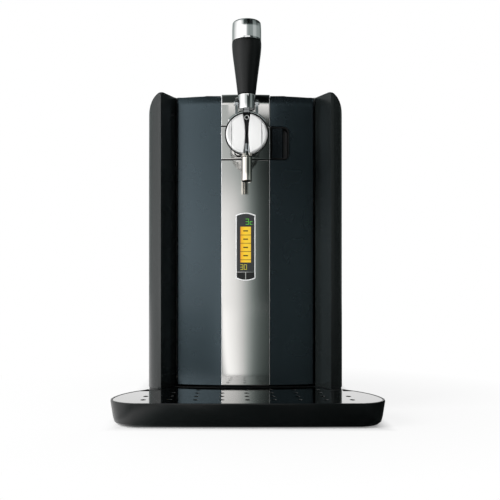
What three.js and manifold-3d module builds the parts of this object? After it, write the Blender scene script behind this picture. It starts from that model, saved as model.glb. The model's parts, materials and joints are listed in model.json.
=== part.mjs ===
// A countertop beer dispenser for 6-litre kegs: a cooled chamber behind a curved door that carries
// the tap, and a drip tray that slides out in front. +Z is up and the front faces -Y. The origin
// is on the table, under the middle of the machine. Lengths are millimetres, angles are degrees.
import * as THREE from "three";
import { mergeVertices } from "three/addons/utils/BufferGeometryUtils.js";
import Module from "manifold-3d";

const wasm = await Module();
wasm.setup();

// Housing
const BODY_HALF_WIDTH = 131;
const BODY_REAR = 247.5;
const BODY_BOTTOM = 30.3;
const ROOF_FRONT = 422.3;
const ROOF_CROWN = 444;
const WALL = 3;
const SEAM = 0.6;
const RIDGE = [112, -124.5];
const JAMB = [95.5, -92];
const FRAME_FRONT = -66.5;
const SIDE_TO_TOP = 94.6;
const SIDE_TO_REAR = 206;
const TOP_TO_FRONT = 407;
const STRIKE_HOLE = [81.6, 394.6, 92.4, 402.4];

// Cutting boxes reach past the whole machine: out to either side, in front and above
const ASIDE = 140;
const AHEAD = -130;
const ABOVE = 460;

// Door
const DOOR_FRONT = -105.5;
const DOOR_RADIUS = 330;
const DOOR_HALF_WIDTH = 93.2;
const DOOR_BACK = -72;
const DOOR_BOTTOM = 33;
const DOOR_CORNER = 4.2;
const DOOR_SKIN = 2.5;
const DOOR_BEND = { deep: 5, tall: 12 };
const HINGE = [-89, -88.9];
const HINGE_HEIGHTS = [44, 401];
const HINGE_PIN_RADIUS = 1.5;
const STRIP_HALF_WIDTH = 32.6;
const STRIP_PROUD = 1;
const STRIP_BEND = { deep: 6, tall: 15 };
const BAND_LOW = 335.6;
const BAND_HIGH = 380.6;
const GROOVE = 1.5;

// Display and its buttons
const DISPLAY_HALF_WIDTH = 11.8;
const DISPLAY_LOW = 174.5;
const DISPLAY_HIGH = 262.8;
const DISPLAY_ARC = 3;
const BUTTON_TOP = 184.4;

// Release tab beside the strip
const TAB_PIVOT = [37.2, -101.1];
const CUP_RIGHT = 58.4;
const CUP_DEPTH = 14;

// Tap
const TAP_Z = 356;
const TAP_BACK = -166.3;
const TAP_HALF_WIDTH = 23.2;
const TAP_ARCH = { z: 357.2, radius: 30 };
const TAP_FOOT = { halfWidth: 19, z: 338, corner: 8 };
const COVER_RADIUS = 26.2;
const COVER_THICK = 7;
const COVER_LEAN = 8;
const RING_RADIUS = 27.7;
const RING_THICK = 1.2;
const RING_RISE = 1;
const SPOUT_Y = -169.5;
const SPOUT_TIP = 296;
const SPOUT_RADIUS = 6.3;
const SPOUT_BORE = 3;
const SPOUT_STEM = 4.4;
const LEVER_Y = -163.5;
const LEVER_Z = 396.5;
const PIN_RADIUS = 2;

// Drip tray
const TRAY_FRONT = -247.8;
const TRAY_TIP = [165, -209];
const TRAY_TOP = 30;
const TRAY_BOTTOM = 1.5;
const PRONG_X = 60;
const PRONG_HALF_WIDTH = 11;
const PLATE_SHEET = 1.2;
const SLOT_PITCH = 31.2;
const SLOT_RADIUS = 3;
const SLOT_REACH = 2.5;
const SLOT_ROWS = [-216, -187, -158, -129];

// Keg chamber
const CHAMBER_HALF_WIDTH = 90;
const CHAMBER_MIDDLE = 30;
const CHAMBER_FLOOR = 57.5;
const CHAMBER_TOP = 385;
const CHAMBER_STEPS = 16;
const LINER = 2.5;
const FOAM = 25;
const FOAM_BOTTOM = 34;
const DOCK_PIVOT = [60, 372];
const DOCK_HEAD_Y = 20;

// Cooler and electrics, behind the chamber
const PAN_FLOOR = 6.5;
const SINK_REAR = 188;
const FAN = { z: 202, half: 46, front: 188.4, rear: 210.4, bore: 42.5 };
const GRILLE = { z: 202, radius: 47, pitch: 8.4, half: 2 };
const VENTS = { z: 332, count: 6, pitch: 9, halfWidth: 42, half: 2 };
const INLET = { left: 66, right: 96, low: 52, high: 76, face: 243.5 };

const GAP = 0.3;
const DEGREES = Math.PI / 180;

const finishes = {
  gloss_black: { color: 0x151b1d, roughness: 0.28, metalness: 0 },
  satin_black: { color: 0x1b2021, roughness: 0.5, metalness: 0 },
  slate_lacquer: { color: 0x344347, roughness: 0.3, metalness: 0.2 },
  polished_steel: { color: 0xc9ccce, roughness: 0.12, metalness: 1 },
  chrome: { color: 0xe6e8ea, roughness: 0.05, metalness: 1 },
  plain_steel: { color: 0x9a9fa2, roughness: 0.35, metalness: 1 },
  aluminium: { color: 0xb4b8ba, roughness: 0.4, metalness: 1 },
  rubber: { color: 0x161616, roughness: 0.85, metalness: 0 },
  grip_black: { color: 0x101313, roughness: 0.55, metalness: 0 },
  lens: { color: 0x2a2e30, roughness: 0.08, metalness: 0 },
  grey_plastic: { color: 0x8d9294, roughness: 0.5, metalness: 0 },
  foam: { color: 0xd8d4c6, roughness: 0.9, metalness: 0 },
  ceramic_white: { color: 0xe8e6e0, roughness: 0.5, metalness: 0 },
  board_green: { color: 0x1f5a3a, roughness: 0.5, metalness: 0 },
};

function finish(name) {
  return new THREE.MeshStandardMaterial({ name, ...finishes[name] });
}

// Points along a circle's arc, from one angle to another.
function arc(cx, cy, radius, from, to, steps) {
  return Array.from({ length: steps + 1 }, (_, i) => {
    const angle = (from + ((to - from) * i) / steps) * DEGREES;
    return [cx + radius * Math.cos(angle), cy + radius * Math.sin(angle)];
  });
}

// The outline mirrored in x = 0 and joined to itself: the half is listed from its start on the
// axis side, and the mirrored half runs back.
function mirrored(half) {
  const other = half.map(([x, y]) => [-x, y]).reverse();
  return [...half, ...other].filter(([x, y], i, all) => {
    const [px, py] = all[(i + all.length - 1) % all.length];
    return Math.hypot(x - px, y - py) > 1e-6;
  });
}

// Every edge of a closed outline moved inwards by the same distance, for outlines listed
// anticlockwise. Each new corner is where the two moved edges beside it meet.
function inset(points, distance) {
  const count = points.length;
  return points.map((point, i) => {
    const before = points[(i + count - 1) % count];
    const after = points[(i + 1) % count];
    const a = new THREE.Vector2(point[0] - before[0], point[1] - before[1]).normalize();
    const b = new THREE.Vector2(after[0] - point[0], after[1] - point[1]).normalize();
    const normal = new THREE.Vector2(-a.y - b.y, a.x + b.x);
    const scale = distance / (1 + a.dot(b));
    return [point[0] + normal.x * scale, point[1] + normal.y * scale];
  });
}

function rectangle(x0, y0, x1, y1) {
  return [[x0, y0], [x1, y0], [x1, y1], [x0, y1]];
}

function roundedRectangle(x0, y0, x1, y1, radius, steps = 4) {
  return [
    ...arc(x1 - radius, y0 + radius, radius, -90, 0, steps),
    ...arc(x1 - radius, y1 - radius, radius, 0, 90, steps),
    ...arc(x0 + radius, y1 - radius, radius, 90, 180, steps),
    ...arc(x0 + radius, y0 + radius, radius, 180, 270, steps),
  ];
}

function extruded(points, depth, holes = []) {
  const shape = new THREE.Shape(points.map(([x, y]) => new THREE.Vector2(x, y)));
  shape.holes = holes.map((hole) => new THREE.Path(hole.map(([x, y]) => new THREE.Vector2(x, y))));
  return new THREE.ExtrudeGeometry(shape, { depth, bevelEnabled: false });
}

// A closed triangle mesh as a solid that can be joined and cut.
function solid(geometry) {
  const bare = geometry.index ? geometry.toNonIndexed() : geometry.clone();
  bare.deleteAttribute("normal");
  bare.deleteAttribute("uv");
  const merged = mergeVertices(bare, 1e-4);
  const corners = merged.index.array;
  const faces = [];
  for (let i = 0; i < corners.length; i += 3) {
    const [a, b, c] = corners.slice(i, i + 3);
    if (a !== b && b !== c && c !== a) faces.push(a, b, c);
  }
  return new wasm.Manifold(
    new wasm.Mesh({
      numProp: 3,
      vertProperties: new Float32Array(merged.attributes.position.array),
      triVerts: new Uint32Array(faces),
    }),
  );
}

// Outline in (x, y), extruded upwards.
function upright(points, low, high, holes) {
  return solid(extruded(points, high - low, holes).translate(0, 0, low));
}

// Outline in (y, z), extruded along X.
function across(points, left, right, holes) {
  const basis = new THREE.Matrix4().makeBasis(
    new THREE.Vector3(0, 1, 0),
    new THREE.Vector3(0, 0, 1),
    new THREE.Vector3(1, 0, 0),
  );
  return solid(extruded(points, right - left, holes).applyMatrix4(basis).translate(left, 0, 0));
}

// Outline in (x, z), extruded along Y.
function along(points, front, rear, holes) {
  const basis = new THREE.Matrix4().makeBasis(
    new THREE.Vector3(1, 0, 0),
    new THREE.Vector3(0, 0, 1),
    new THREE.Vector3(0, -1, 0),
  );
  return solid(extruded(points, rear - front, holes).applyMatrix4(basis).translate(0, rear, 0));
}

function box(x0, y0, z0, x1, y1, z1) {
  const size = new THREE.BoxGeometry(x1 - x0, y1 - y0, z1 - z0);
  return solid(size.translate((x0 + x1) / 2, (y0 + y1) / 2, (z0 + z1) / 2));
}

// A profile of (radius, height) points turned about a vertical axis, listed from the bottom up.
function turned(profile, x, y, steps = 32) {
  const points = profile.map(([radius, height]) => new THREE.Vector2(radius, height));
  return solid(new THREE.LatheGeometry(points, steps).rotateX(Math.PI / 2).translate(x, y, 0));
}

function cylinderZ(x, y, radius, low, high, steps = 24) {
  return turned([[0, low], [radius, low], [radius, high], [0, high]], x, y, steps);
}

function cylinderX(y, z, radius, left, right, steps = 24) {
  return across(arc(y, z, radius, 0, 360 - 360 / steps, steps - 1), left, right);
}

function cylinderY(x, z, radius, front, rear, steps = 24) {
  return along(arc(x, z, radius, 0, 360 - 360 / steps, steps - 1), front, rear);
}

// A body through closed outlines of the same number of points, each at its own height.
function lofted(sections) {
  const count = sections[0].points.length;
  const positions = sections.flatMap(({ points, z }) => points.flatMap(([x, y]) => [x, y, z]));
  const index = [];
  for (let s = 0; s + 1 < sections.length; s++)
    for (let i = 0; i < count; i++) {
      const a = s * count + i;
      const b = s * count + ((i + 1) % count);
      index.push(a, b, b + count, a, b + count, a + count);
    }
  const flat = (points) => points.map(([x, y]) => new THREE.Vector2(x, y));
  const top = (sections.length - 1) * count;
  for (const [a, b, c] of THREE.ShapeUtils.triangulateShape(flat(sections[0].points), []))
    index.push(a, c, b);
  for (const [a, b, c] of THREE.ShapeUtils.triangulateShape(flat(sections.at(-1).points), []))
    index.push(top + a, top + b, top + c);
  const geometry = new THREE.BufferGeometry();
  geometry.setAttribute("position", new THREE.Float32BufferAttribute(positions, 3));
  geometry.setIndex(index);
  return solid(geometry);
}

function joined(first, ...others) {
  return others.reduce((whole, other) => whole.add(other), first);
}

function cut(first, ...tools) {
  return tools.reduce((whole, tool) => whole.subtract(tool), first);
}

function surface(body) {
  const mesh = body.getMesh();
  const geometry = new THREE.BufferGeometry();
  const positions = new Float32Array(mesh.numVert * 3);
  for (let i = 0; i < mesh.numVert; i++) {
    const from = i * mesh.numProp;
    positions.set(mesh.vertProperties.subarray(from, from + 3), i * 3);
  }
  geometry.setAttribute("position", new THREE.BufferAttribute(positions, 3));
  geometry.setIndex(new THREE.BufferAttribute(mesh.triVerts, 1));
  const faceted = geometry.toNonIndexed();
  faceted.computeVertexNormals();
  return faceted;
}

function piece(group, name, body, finishName, place = [0, 0, 0]) {
  const mesh = new THREE.Mesh(surface(body), finish(finishName));
  mesh.name = name;
  mesh.position.set(...place);
  group.add(mesh);
  return mesh;
}

// The housing's outlines. Seen from above, each side bulges forward into a wing: its outer face
// is an arc that ends in a sharp ridge, and its inner face slopes back to the door's jamb.
function housingPlan() {
  const reach = BODY_HALF_WIDTH - RIDGE[0];
  const sideStart = JAMB[1];
  const turn = 2 * Math.atan(reach / (sideStart - RIDGE[1]));
  const radius = reach / (1 - Math.cos(turn));
  const rearCorner = 34;
  const half = [
    [0, FRAME_FRONT],
    [JAMB[0], FRAME_FRONT],
    JAMB,
    ...arc(BODY_HALF_WIDTH - radius, sideStart, radius, -turn / DEGREES, 0, 8),
    [BODY_HALF_WIDTH, 60],
    ...arc(BODY_HALF_WIDTH - 6 - rearCorner, BODY_REAR - rearCorner, rearCorner, 0, 90, 7),
    [0, BODY_REAR],
  ];
  return mirrored(half);
}

// Seen from the side: level over the wings and the door, then a long crown, and a round fall
// to the back.
function housingSide() {
  const crownY = 60;
  const rearRadius = 38;
  const rise = ROOF_CROWN - ROOF_FRONT;
  const start = JAMB[1];
  const frontRadius = ((crownY - start) ** 2 + rise ** 2) / (2 * rise);
  const rearFall = 640;
  const rearAngle = 14.5;
  const startAngle = 90 + Math.asin((crownY - start) / frontRadius) / DEGREES;
  const tangentY = crownY + rearFall * Math.sin(rearAngle * DEGREES);
  const tangentZ = ROOF_CROWN - rearFall * (1 - Math.cos(rearAngle * DEGREES));
  const cornerY = tangentY - rearRadius * Math.sin(rearAngle * DEGREES);
  const cornerZ = tangentZ - rearRadius * Math.cos(rearAngle * DEGREES);
  return [
    [-126, 0],
    [BODY_REAR - 4, 0],
    ...arc(cornerY + 0.5, cornerZ, rearRadius, 0, 90 - rearAngle, 6),
    ...arc(crownY, ROOF_CROWN - rearFall, rearFall, 90 - rearAngle, 90, 5).slice(1),
    ...arc(crownY, ROOF_CROWN - frontRadius, frontRadius, 90, startAngle, 5).slice(1),
    ...arc(-119.5, ROOF_FRONT - 5, 5, 90, 180, 4),
    [-126, ROOF_FRONT - 12],
  ];
}

// Seen from the front: nearly upright sides, an oval shoulder and a flat dome between them.
function housingFront() {
  const shoulder = { x: 106, z: 396, across: 24, up: 27 };
  const half = [[0, 0], [BODY_HALF_WIDTH + 1, 0], [BODY_HALF_WIDTH + 1, BODY_BOTTOM]];
  for (let angle = 0; angle <= 75; angle += 12.5)
    half.push([
      shoulder.x + shoulder.across * Math.cos(angle * DEGREES),
      shoulder.z + shoulder.up * Math.sin(angle * DEGREES),
    ]);
  const [edgeX, edgeZ] = half.at(-1);
  for (const part of [0.85, 0.65, 0.45, 0.22, 0])
    half.push([edgeX * part, edgeZ + (ROOF_CROWN + 0.5 - edgeZ) * (1 - part ** 2)]);
  return mirrored(half);
}

const outlines = {
  plan: housingPlan(),
  side: housingSide(),
  front: housingFront(),
  tray: trayPlan(),
};

function housingForm(depth, low) {
  const plan = upright(inset(outlines.plan, depth), low, ABOVE);
  const side = across(inset(outlines.side, depth), -150, 150);
  const front = along(inset(outlines.front, depth), -150, 260);
  return plan.intersect(side).intersect(front);
}

const housingOuter = housingForm(0.001, BODY_BOTTOM);
const housingShell = housingOuter.subtract(housingForm(WALL, 0));

function sidePanel(sign) {
  const reach = [SIDE_TO_TOP + SEAM / 2, ASIDE];
  const [left, right] = sign > 0 ? reach : [-reach[1], -reach[0]];
  const wall = housingShell.intersect(box(left, AHEAD, 0, right, SIDE_TO_REAR, ABOVE));
  const rib = (y) => {
    const ends = sign > 0 ? [122, BODY_HALF_WIDTH - 1] : [1 - BODY_HALF_WIDTH, -122];
    return box(ends[0], y, 60, ends[1], y + 2.5, 390);
  };
  return joined(wall, rib(-20), rib(70), rib(150));
}

function topCover() {
  const wide = SIDE_TO_TOP - SEAM / 2;
  return housingShell.intersect(box(-wide, AHEAD, TOP_TO_FRONT, wide, SIDE_TO_REAR, ABOVE));
}

function frontFrame() {
  const wide = SIDE_TO_TOP - SEAM / 2;
  const wall = housingShell.intersect(box(-wide, AHEAD, 0, wide, -50, TOP_TO_FRONT - SEAM));
  const mouth = along(
    roundedRectangle(-CHAMBER_HALF_WIDTH + 2, 58, CHAMBER_HALF_WIDTH - 2, 384, 10),
    -80,
    -50,
  );
  const arms = HINGE_HEIGHTS.map((z) => box(HINGE[0] - 2, -80, z - 2.4, HINGE[0] + 2, -50, z + 2.4));
  const strikeHole = along(rectangle(...STRIKE_HOLE), -80, -50);
  return cut(wall, mouth, strikeHole, ...arms);
}

// A level slot through the rear cover, with pointed ends.
function ventSlot(half, z, halfHeight) {
  const outline = [
    [-half, z - halfHeight],
    [half, z - halfHeight],
    [half + halfHeight, z],
    [half, z + halfHeight],
    [-half, z + halfHeight],
    [-half - halfHeight, z],
  ];
  return along(outline, SIDE_TO_REAR, BODY_REAR + 5);
}

// The grille is a round field of slots over the fan, each as long as the circle allows.
function rearCover() {
  const shell = housingShell.intersect(box(-ASIDE, SIDE_TO_REAR + SEAM, 0, ASIDE, 260, ABOVE));
  const slots = [];
  for (let row = -5; row <= 5; row++) {
    const drop = row * GRILLE.pitch;
    slots.push(ventSlot(Math.sqrt(GRILLE.radius ** 2 - drop ** 2), GRILLE.z + drop, GRILLE.half));
  }
  for (let row = 0; row < VENTS.count; row++)
    slots.push(ventSlot(VENTS.halfWidth, VENTS.z + row * VENTS.pitch, VENTS.half));
  const opening = roundedRectangle(INLET.left, INLET.low, INLET.right, INLET.high, 3, 2);
  return cut(shell, along(opening, SIDE_TO_REAR, BODY_REAR + 5), ...slots);
}

// The base pan's outline follows the wings, and is straight behind the door. Its lower edge is
// drawn in.
function basePan() {
  const front = JAMB[1];
  const plan = outlines.plan
    .filter(([x, y]) => y !== FRAME_FRONT || x === 0)
    .map(([x, y]) => (y === FRAME_FRONT ? [x, front] : [x, y]));
  const outer = lofted([
    { points: inset(plan, 3.8), z: 3 },
    { points: inset(plan, 1.4), z: 6 },
    { points: inset(plan, 0.8), z: 14 },
    { points: inset(plan, 0.8), z: TRAY_TOP },
  ]);
  const hollow = upright(roundedRectangle(-122, front + 4.5, 122, BODY_REAR - 7, 30, 4), PAN_FLOOR, 40);
  const reach = PRONG_HALF_WIDTH + 1;
  const sockets = [-PRONG_X, PRONG_X].map((x) => box(x - reach, -100, 8, x + reach, -70, 20));
  const ribTop = FOAM_BOTTOM - GAP;
  const ribs = [-88, -30, 30, 88].map((x) => box(x - 1.5, FRAME_FRONT + WALL + 1, 6, x + 1.5, 100, ribTop));
  return joined(cut(outer, hollow, ...sockets), ...ribs);
}

function foot() {
  return turned([[0, 0], [8.6, 0], [9.5, 0.9], [9.5, 2.7], [0, 2.7]], 0, 0, 16);
}

// The chamber's outline from above: straight sides with an open front and a round back.
function chamberPlan(halfWidth, front) {
  return [
    [-halfWidth, front],
    [halfWidth, front],
    ...arc(0, CHAMBER_MIDDLE, halfWidth, 0, 180, CHAMBER_STEPS),
  ];
}

function chamberLiner() {
  const front = FRAME_FRONT + WALL + GAP;
  const wide = CHAMBER_HALF_WIDTH;
  const outer = upright(chamberPlan(wide + LINER, front), CHAMBER_FLOOR - LINER, CHAMBER_TOP);
  const room = upright(chamberPlan(wide, front - 10), CHAMBER_FLOOR, CHAMBER_TOP + 10);
  return outer.subtract(room);
}

function foamJacket() {
  const front = FRAME_FRONT + WALL + GAP;
  const inner = CHAMBER_HALF_WIDTH + LINER + GAP;
  const outer = upright(chamberPlan(inner + FOAM, front), FOAM_BOTTOM, CHAMBER_TOP);
  const room = upright(chamberPlan(inner, front - 10), CHAMBER_FLOOR - LINER - GAP, CHAMBER_TOP + 10);
  const window = box(-23, 100, 178, 23, 160, 226);
  const armRoom = HINGE_HEIGHTS.map((z) => box(-94, front - 5, z - 12, -78, -57, z + 12));
  return cut(outer, room, window, ...armRoom);
}

function kegSeat() {
  const profile = [[58, 57.8], [76, 57.8], [76, 60], [72, 66], [64, 66], [58, 57.8]];
  return turned(profile, 0, CHAMBER_MIDDLE - 6, 24);
}

function coolingPlate() {
  const wall = CHAMBER_MIDDLE + CHAMBER_HALF_WIDTH + LINER + GAP;
  const block = box(-22, wall, 179, 22, 150, 225);
  return joined(block, box(-27, 148, 174, 27, 152, 230));
}

function heatSink() {
  const base = box(-54, 156.6, 150, 54, 162, 254);
  const fins = Array.from({ length: 13 }, (_, i) => {
    const x = -54 + i * 8.8;
    return box(x, 161, 150, x + 2.4, SINK_REAR, 254);
  });
  return joined(base, ...fins);
}

function fanFrame() {
  const outline = roundedRectangle(-FAN.half, FAN.z - FAN.half, FAN.half, FAN.z + FAN.half, 5, 3);
  const block = along(outline, FAN.front, FAN.rear);
  const bore = cylinderY(0, FAN.z, FAN.bore, FAN.front - 5, FAN.rear + 5, 20);
  const ring = block.subtract(bore);
  const spokes = [0, 120, 240].map((turn) => {
    const direction = turn * DEGREES;
    const tip = [44 * Math.cos(direction), FAN.z + 44 * Math.sin(direction)];
    const side = [-Math.sin(direction) * 2.2, Math.cos(direction) * 2.2];
    const spoke = [
      [side[0], FAN.z + side[1]],
      [-side[0], FAN.z - side[1]],
      [tip[0] - side[0], tip[1] - side[1]],
      [tip[0] + side[0], tip[1] + side[1]],
    ];
    return along(spoke, FAN.rear - 3, FAN.rear);
  });
  const seat = cylinderY(0, FAN.z, 15, FAN.rear - 3, FAN.rear, 16);
  const corners = [-1, 1].flatMap((i) =>
    [-1, 1].map((j) => cylinderY(i * 40, FAN.z + j * 40, 2.2, FAN.front - 1, FAN.rear + 1, 8)),
  );
  return cut(joined(ring, seat, ...spokes), ...corners);
}

// A hub with seven pitched blades, about its own axis along Y.
function fanRotor() {
  const hub = cylinderY(0, 0, 16, -8, 8, 20);
  const blade = (turn) => {
    const slab = new THREE.BoxGeometry(27, 1.6, 17);
    const pitch = new THREE.Matrix4().makeRotationX(38 * DEGREES);
    const place = new THREE.Matrix4().makeTranslation(27.5, 0, 0);
    const around = new THREE.Matrix4().makeRotationY(turn * DEGREES);
    return solid(slab.applyMatrix4(pitch).applyMatrix4(place).applyMatrix4(around));
  };
  const blades = Array.from({ length: 7 }, (_, i) => blade((i * 360) / 7));
  return joined(hub, ...blades);
}

// A diaphragm pump: a round motor, a square head with an upright nozzle, and a saddle below.
function airPump() {
  const motor = cylinderY(0, 14, 13, -4, 34, 20);
  const head = along(roundedRectangle(-17, -3, 17, 31, 4, 2), -26, -4);
  const nozzle = cylinderZ(8, -15, 2.4, 28, 40, 10);
  const saddle = box(-15, -24, -4, 15, 30, 3);
  return joined(motor, head, nozzle, saddle);
}

// The board on four posts, about its own middle, with its blocks and two round capacitors.
function controlBoard() {
  const half = 38;
  const board = box(-half, -half, 5.2, half, half, 6.8);
  const parts = [
    box(-28, -28, 6.2, -6, -6, 12.2),
    box(2, -28, 6.2, 20, -18, 17.2),
    box(-26, 10, 6.2, 12, 26, 9.7),
    cylinderZ(26, 2, 5, 6.2, 23.2, 12),
    cylinderZ(26, 18, 5, 6.2, 19.2, 12),
  ];
  const posts = [-33, 33].flatMap((x) => [-33, 33].map((y) => cylinderZ(x, y, 3, 0, 6.2, 8)));
  return joined(board, ...parts, ...posts);
}

function powerSupply() {
  const floor = PAN_FLOOR + GAP;
  const can = box(24, 150, floor, 106, 226, 42);
  const vents = Array.from({ length: 7 }, (_, i) => box(36 + i * 9, 148, 14, 40 + i * 9, 152, 34));
  const flange = box(18, 150, floor, 112, 226, floor + 1.8);
  return cut(joined(can, flange), ...vents);
}

// A recessed mains socket with its two blades, and a flange behind the rear cover.
function powerInlet() {
  const { left, right, low, high } = INLET;
  const behind = INLET.face - WALL - GAP;
  const rim = roundedRectangle(left + 0.4, low + 0.4, right - 0.4, high - 0.4, 2.6, 2);
  const body = along(rim, 226, INLET.face);
  const flange = box(left - 4, behind - 2.4, low - 4, right + 4, behind, high + 4);
  const well = along(roundedRectangle(left + 5, low + 4, right - 5, high - 4, 3, 2), 230, 250);
  const blades = [76.5, 83.5].map((x) => box(x, 229, 61, x + 2, 242, 66));
  return joined(cut(joined(body, flange), well), ...blades);
}

// A hinge arm with a plate behind the front frame, and the pin riveted into its eye.
function hingeBracket() {
  const armHalf = 1.6;
  const eye = cylinderZ(0, 0, 2.9, -2, 2, 16);
  const pin = cylinderZ(0, 0, HINGE_PIN_RADIUS, -9, 9, 12);
  const arm = box(-armHalf, 0, -2, armHalf, FRAME_FRONT - HINGE[1] + WALL + 4, 2);
  const plateFront = FRAME_FRONT - HINGE[1] + WALL + GAP;
  const plate = box(-armHalf, plateFront, -9, 9, plateFront + 2.4, 9);
  return joined(eye, arm, plate, pin);
}

// The door's outline from above, moved inwards by depth: the front is part of a large circle and
// its corners are round. The hinge's axis is the left corner's centre.
function doorPlan(depth) {
  const radius = DOOR_RADIUS - depth;
  const corner = Math.max(DOOR_CORNER - depth, 0.8);
  const middleY = DOOR_FRONT + DOOR_RADIUS;
  const cornerX = DOOR_HALF_WIDTH - depth - corner;
  const cornerY = middleY - Math.sqrt((radius - corner) ** 2 - cornerX ** 2);
  const lean = Math.asin(cornerX / (radius - corner)) / DEGREES;
  const half = [
    ...arc(0, middleY, radius, -90, -90 + lean, 9),
    ...arc(cornerX, cornerY, corner, -90 + lean, 0, 4).slice(1),
    [DOOR_HALF_WIDTH - depth, DOOR_BACK - 2 + depth],
    [0, DOOR_BACK - 2 + depth],
  ];
  return mirrored(half);
}

// A quarter of an ellipse over the front of a top edge, from the top to the front face.
function bentTop(front, top, deep, tall, steps) {
  return arc(0, 0, 1, 90, 180, steps).map(([y, z]) => [front + deep * (1 + y), top - tall * (1 - z)]);
}

// Seen from the side, the door's front bends back to its top edge.
function doorSide(depth) {
  const front = DOOR_FRONT + depth;
  const top = ROOF_FRONT - depth;
  const deep = Math.max(DOOR_BEND.deep - depth, 0.4);
  const tall = Math.max(DOOR_BEND.tall - depth, 0.4);
  return [
    [front, DOOR_BOTTOM + depth],
    [DOOR_BACK + 20, DOOR_BOTTOM + depth],
    [DOOR_BACK + 20, top],
    ...bentTop(front, top, deep, tall, 6),
  ];
}

function doorForm(depth) {
  return upright(doorPlan(depth), 0, ABOVE).intersect(across(doorSide(depth), -150, 150));
}

function hingeCutters() {
  return HINGE_HEIGHTS.flatMap((z) => [
    box(HINGE[0] - 8, HINGE[1] - 1.9, z - 2.6, HINGE[0] + 1.9, -60, z + 2.6),
    cylinderZ(HINGE[0], HINGE[1], 3.3, z - 2.6, z + 2.6, 12),
    cylinderZ(HINGE[0], HINGE[1], HINGE_PIN_RADIUS + GAP, z - 9.4, z + 9.4, 12),
  ]);
}

// The room round each hinge in the pieces behind the door's skin.
function hingeRooms() {
  return HINGE_HEIGHTS.map((z) => box(-100, -100, z - 11.4, HINGE[0] + 4.4, -60, z + 11.4));
}

const doorShell = doorForm(0).subtract(doorForm(DOOR_SKIN));

function cupOutline(depth) {
  const x1 = CUP_RIGHT - depth;
  const low = BAND_LOW + GROOVE / 2 + depth;
  const high = BAND_HIGH - GROOVE / 2 - depth;
  const radius = 7 - depth;
  return [
    [STRIP_HALF_WIDTH + GAP + depth, low],
    ...arc(x1 - radius, low + radius, radius, -90, 0, 4),
    ...arc(x1 - radius, high - radius, radius, 0, 90, 4),
    [STRIP_HALF_WIDTH + GAP + depth, high],
  ];
}

function doorPanel(sign) {
  const reach = [STRIP_HALF_WIDTH + 0.5, 120];
  const [left, right] = sign > 0 ? reach : [-reach[1], -reach[0]];
  const skin = doorShell.intersect(box(left, AHEAD, 0, right, 0, ABOVE));
  if (sign > 0) return skin.subtract(along(inset(cupOutline(0), -1), AHEAD, -80));
  const bosses = HINGE_HEIGHTS.map((z) => cylinderZ(HINGE[0], HINGE[1], 4, z - 11, z + 11, 16));
  return cut(joined(skin, ...bosses), ...hingeCutters());
}

function doorFrame() {
  const depth = DOOR_SKIN + GAP;
  const open = box(-100, DOOR_BACK - 4.6, 0, 100, 0, ABOVE);
  const tray = cut(doorForm(depth), doorForm(depth + 2.4), open);
  const cup = along(inset(cupOutline(0), -0.4), AHEAD, -78);
  const display = box(-13, AHEAD, 172, 13, -80, 266);
  return cut(tray, cup, display, ...hingeRooms());
}

// The steel strip is a shallow channel: a curved face with both edges folded back.
function stripForm() {
  const middleY = DOOR_FRONT + DOOR_RADIUS;
  const face = (offset, half, steps) => {
    const radius = DOOR_RADIUS - offset;
    const lean = Math.asin(half / radius) / DEGREES;
    return arc(0, middleY, radius, -90 - lean, -90 + lean, steps);
  };
  const flange = 1.4;
  const narrow = STRIP_HALF_WIDTH - flange;
  const outer = [...face(-STRIP_PROUD, STRIP_HALF_WIDTH, 10), ...face(2.5, STRIP_HALF_WIDTH, 10).reverse()];
  const inner = [...face(0.4, narrow, 10), ...face(6, narrow, 10).reverse()];
  const top = ROOF_FRONT + 2.2;
  const front = DOOR_FRONT - STRIP_PROUD;
  const { deep, tall } = STRIP_BEND;
  const side = [
    [front - 1, DOOR_BOTTOM],
    [front + 30, DOOR_BOTTOM],
    [front + 30, top],
    ...bentTop(front, top, deep, tall, 6),
    [front - 1, top - tall - 1],
  ];
  const shape = upright(outer, DOOR_BOTTOM, top).intersect(across(side, -50, 50));
  return shape.subtract(upright(inner, DOOR_BOTTOM + flange, top - tall - 1));
}

const strip = stripForm();

function stripPiece(low, high) {
  return strip.intersect(box(-50, AHEAD, low, 50, 0, high));
}

function displayOutline(depth, low) {
  const half = DISPLAY_HALF_WIDTH - depth;
  const radius = (half ** 2 + DISPLAY_ARC ** 2) / (2 * DISPLAY_ARC);
  const lean = Math.asin(half / radius) / DEGREES;
  const top = arc(0, DISPLAY_HIGH - depth - radius, radius, 90 - lean, 90 + lean, 8);
  if (low > DISPLAY_LOW + 5) return [[-half, low], [half, low], ...top];
  const bottom = arc(0, DISPLAY_LOW + depth + radius, radius, -90 - lean, -90 + lean, 8);
  return [...bottom, ...top];
}

// The strip below the band, with the display's window and a fine line pressed in near its foot.
function stripLower() {
  const face = stripPiece(DOOR_BOTTOM - 1, BAND_LOW - GROOVE / 2);
  const window = along(displayOutline(-GAP, DISPLAY_LOW), AHEAD, -90);
  const line = across([[-108, 40.9], [-105.9, 41.4], [-105.9, 42], [-108, 42.5]], -50, 50);
  return cut(face, window, line);
}

function displayLens() {
  return along(displayOutline(0, BUTTON_TOP + 0.6), DOOR_FRONT - STRIP_PROUD - 0.3, DOOR_FRONT + 1.6);
}

// One of the two buttons under the lens, which share the lens's outline.
function displayButton(sign) {
  const whole = along(displayOutline(0, DISPLAY_LOW), -2.3, 3);
  const [left, right] = sign > 0 ? [0.5, 20] : [-20, -0.5];
  const cap = whole.intersect(box(left, -10, 100, right, 10, BUTTON_TOP));
  const stem = cylinderY(sign * 6, 180, 2, 2.9, 3.9, 8);
  return joined(cap, stem);
}

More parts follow.
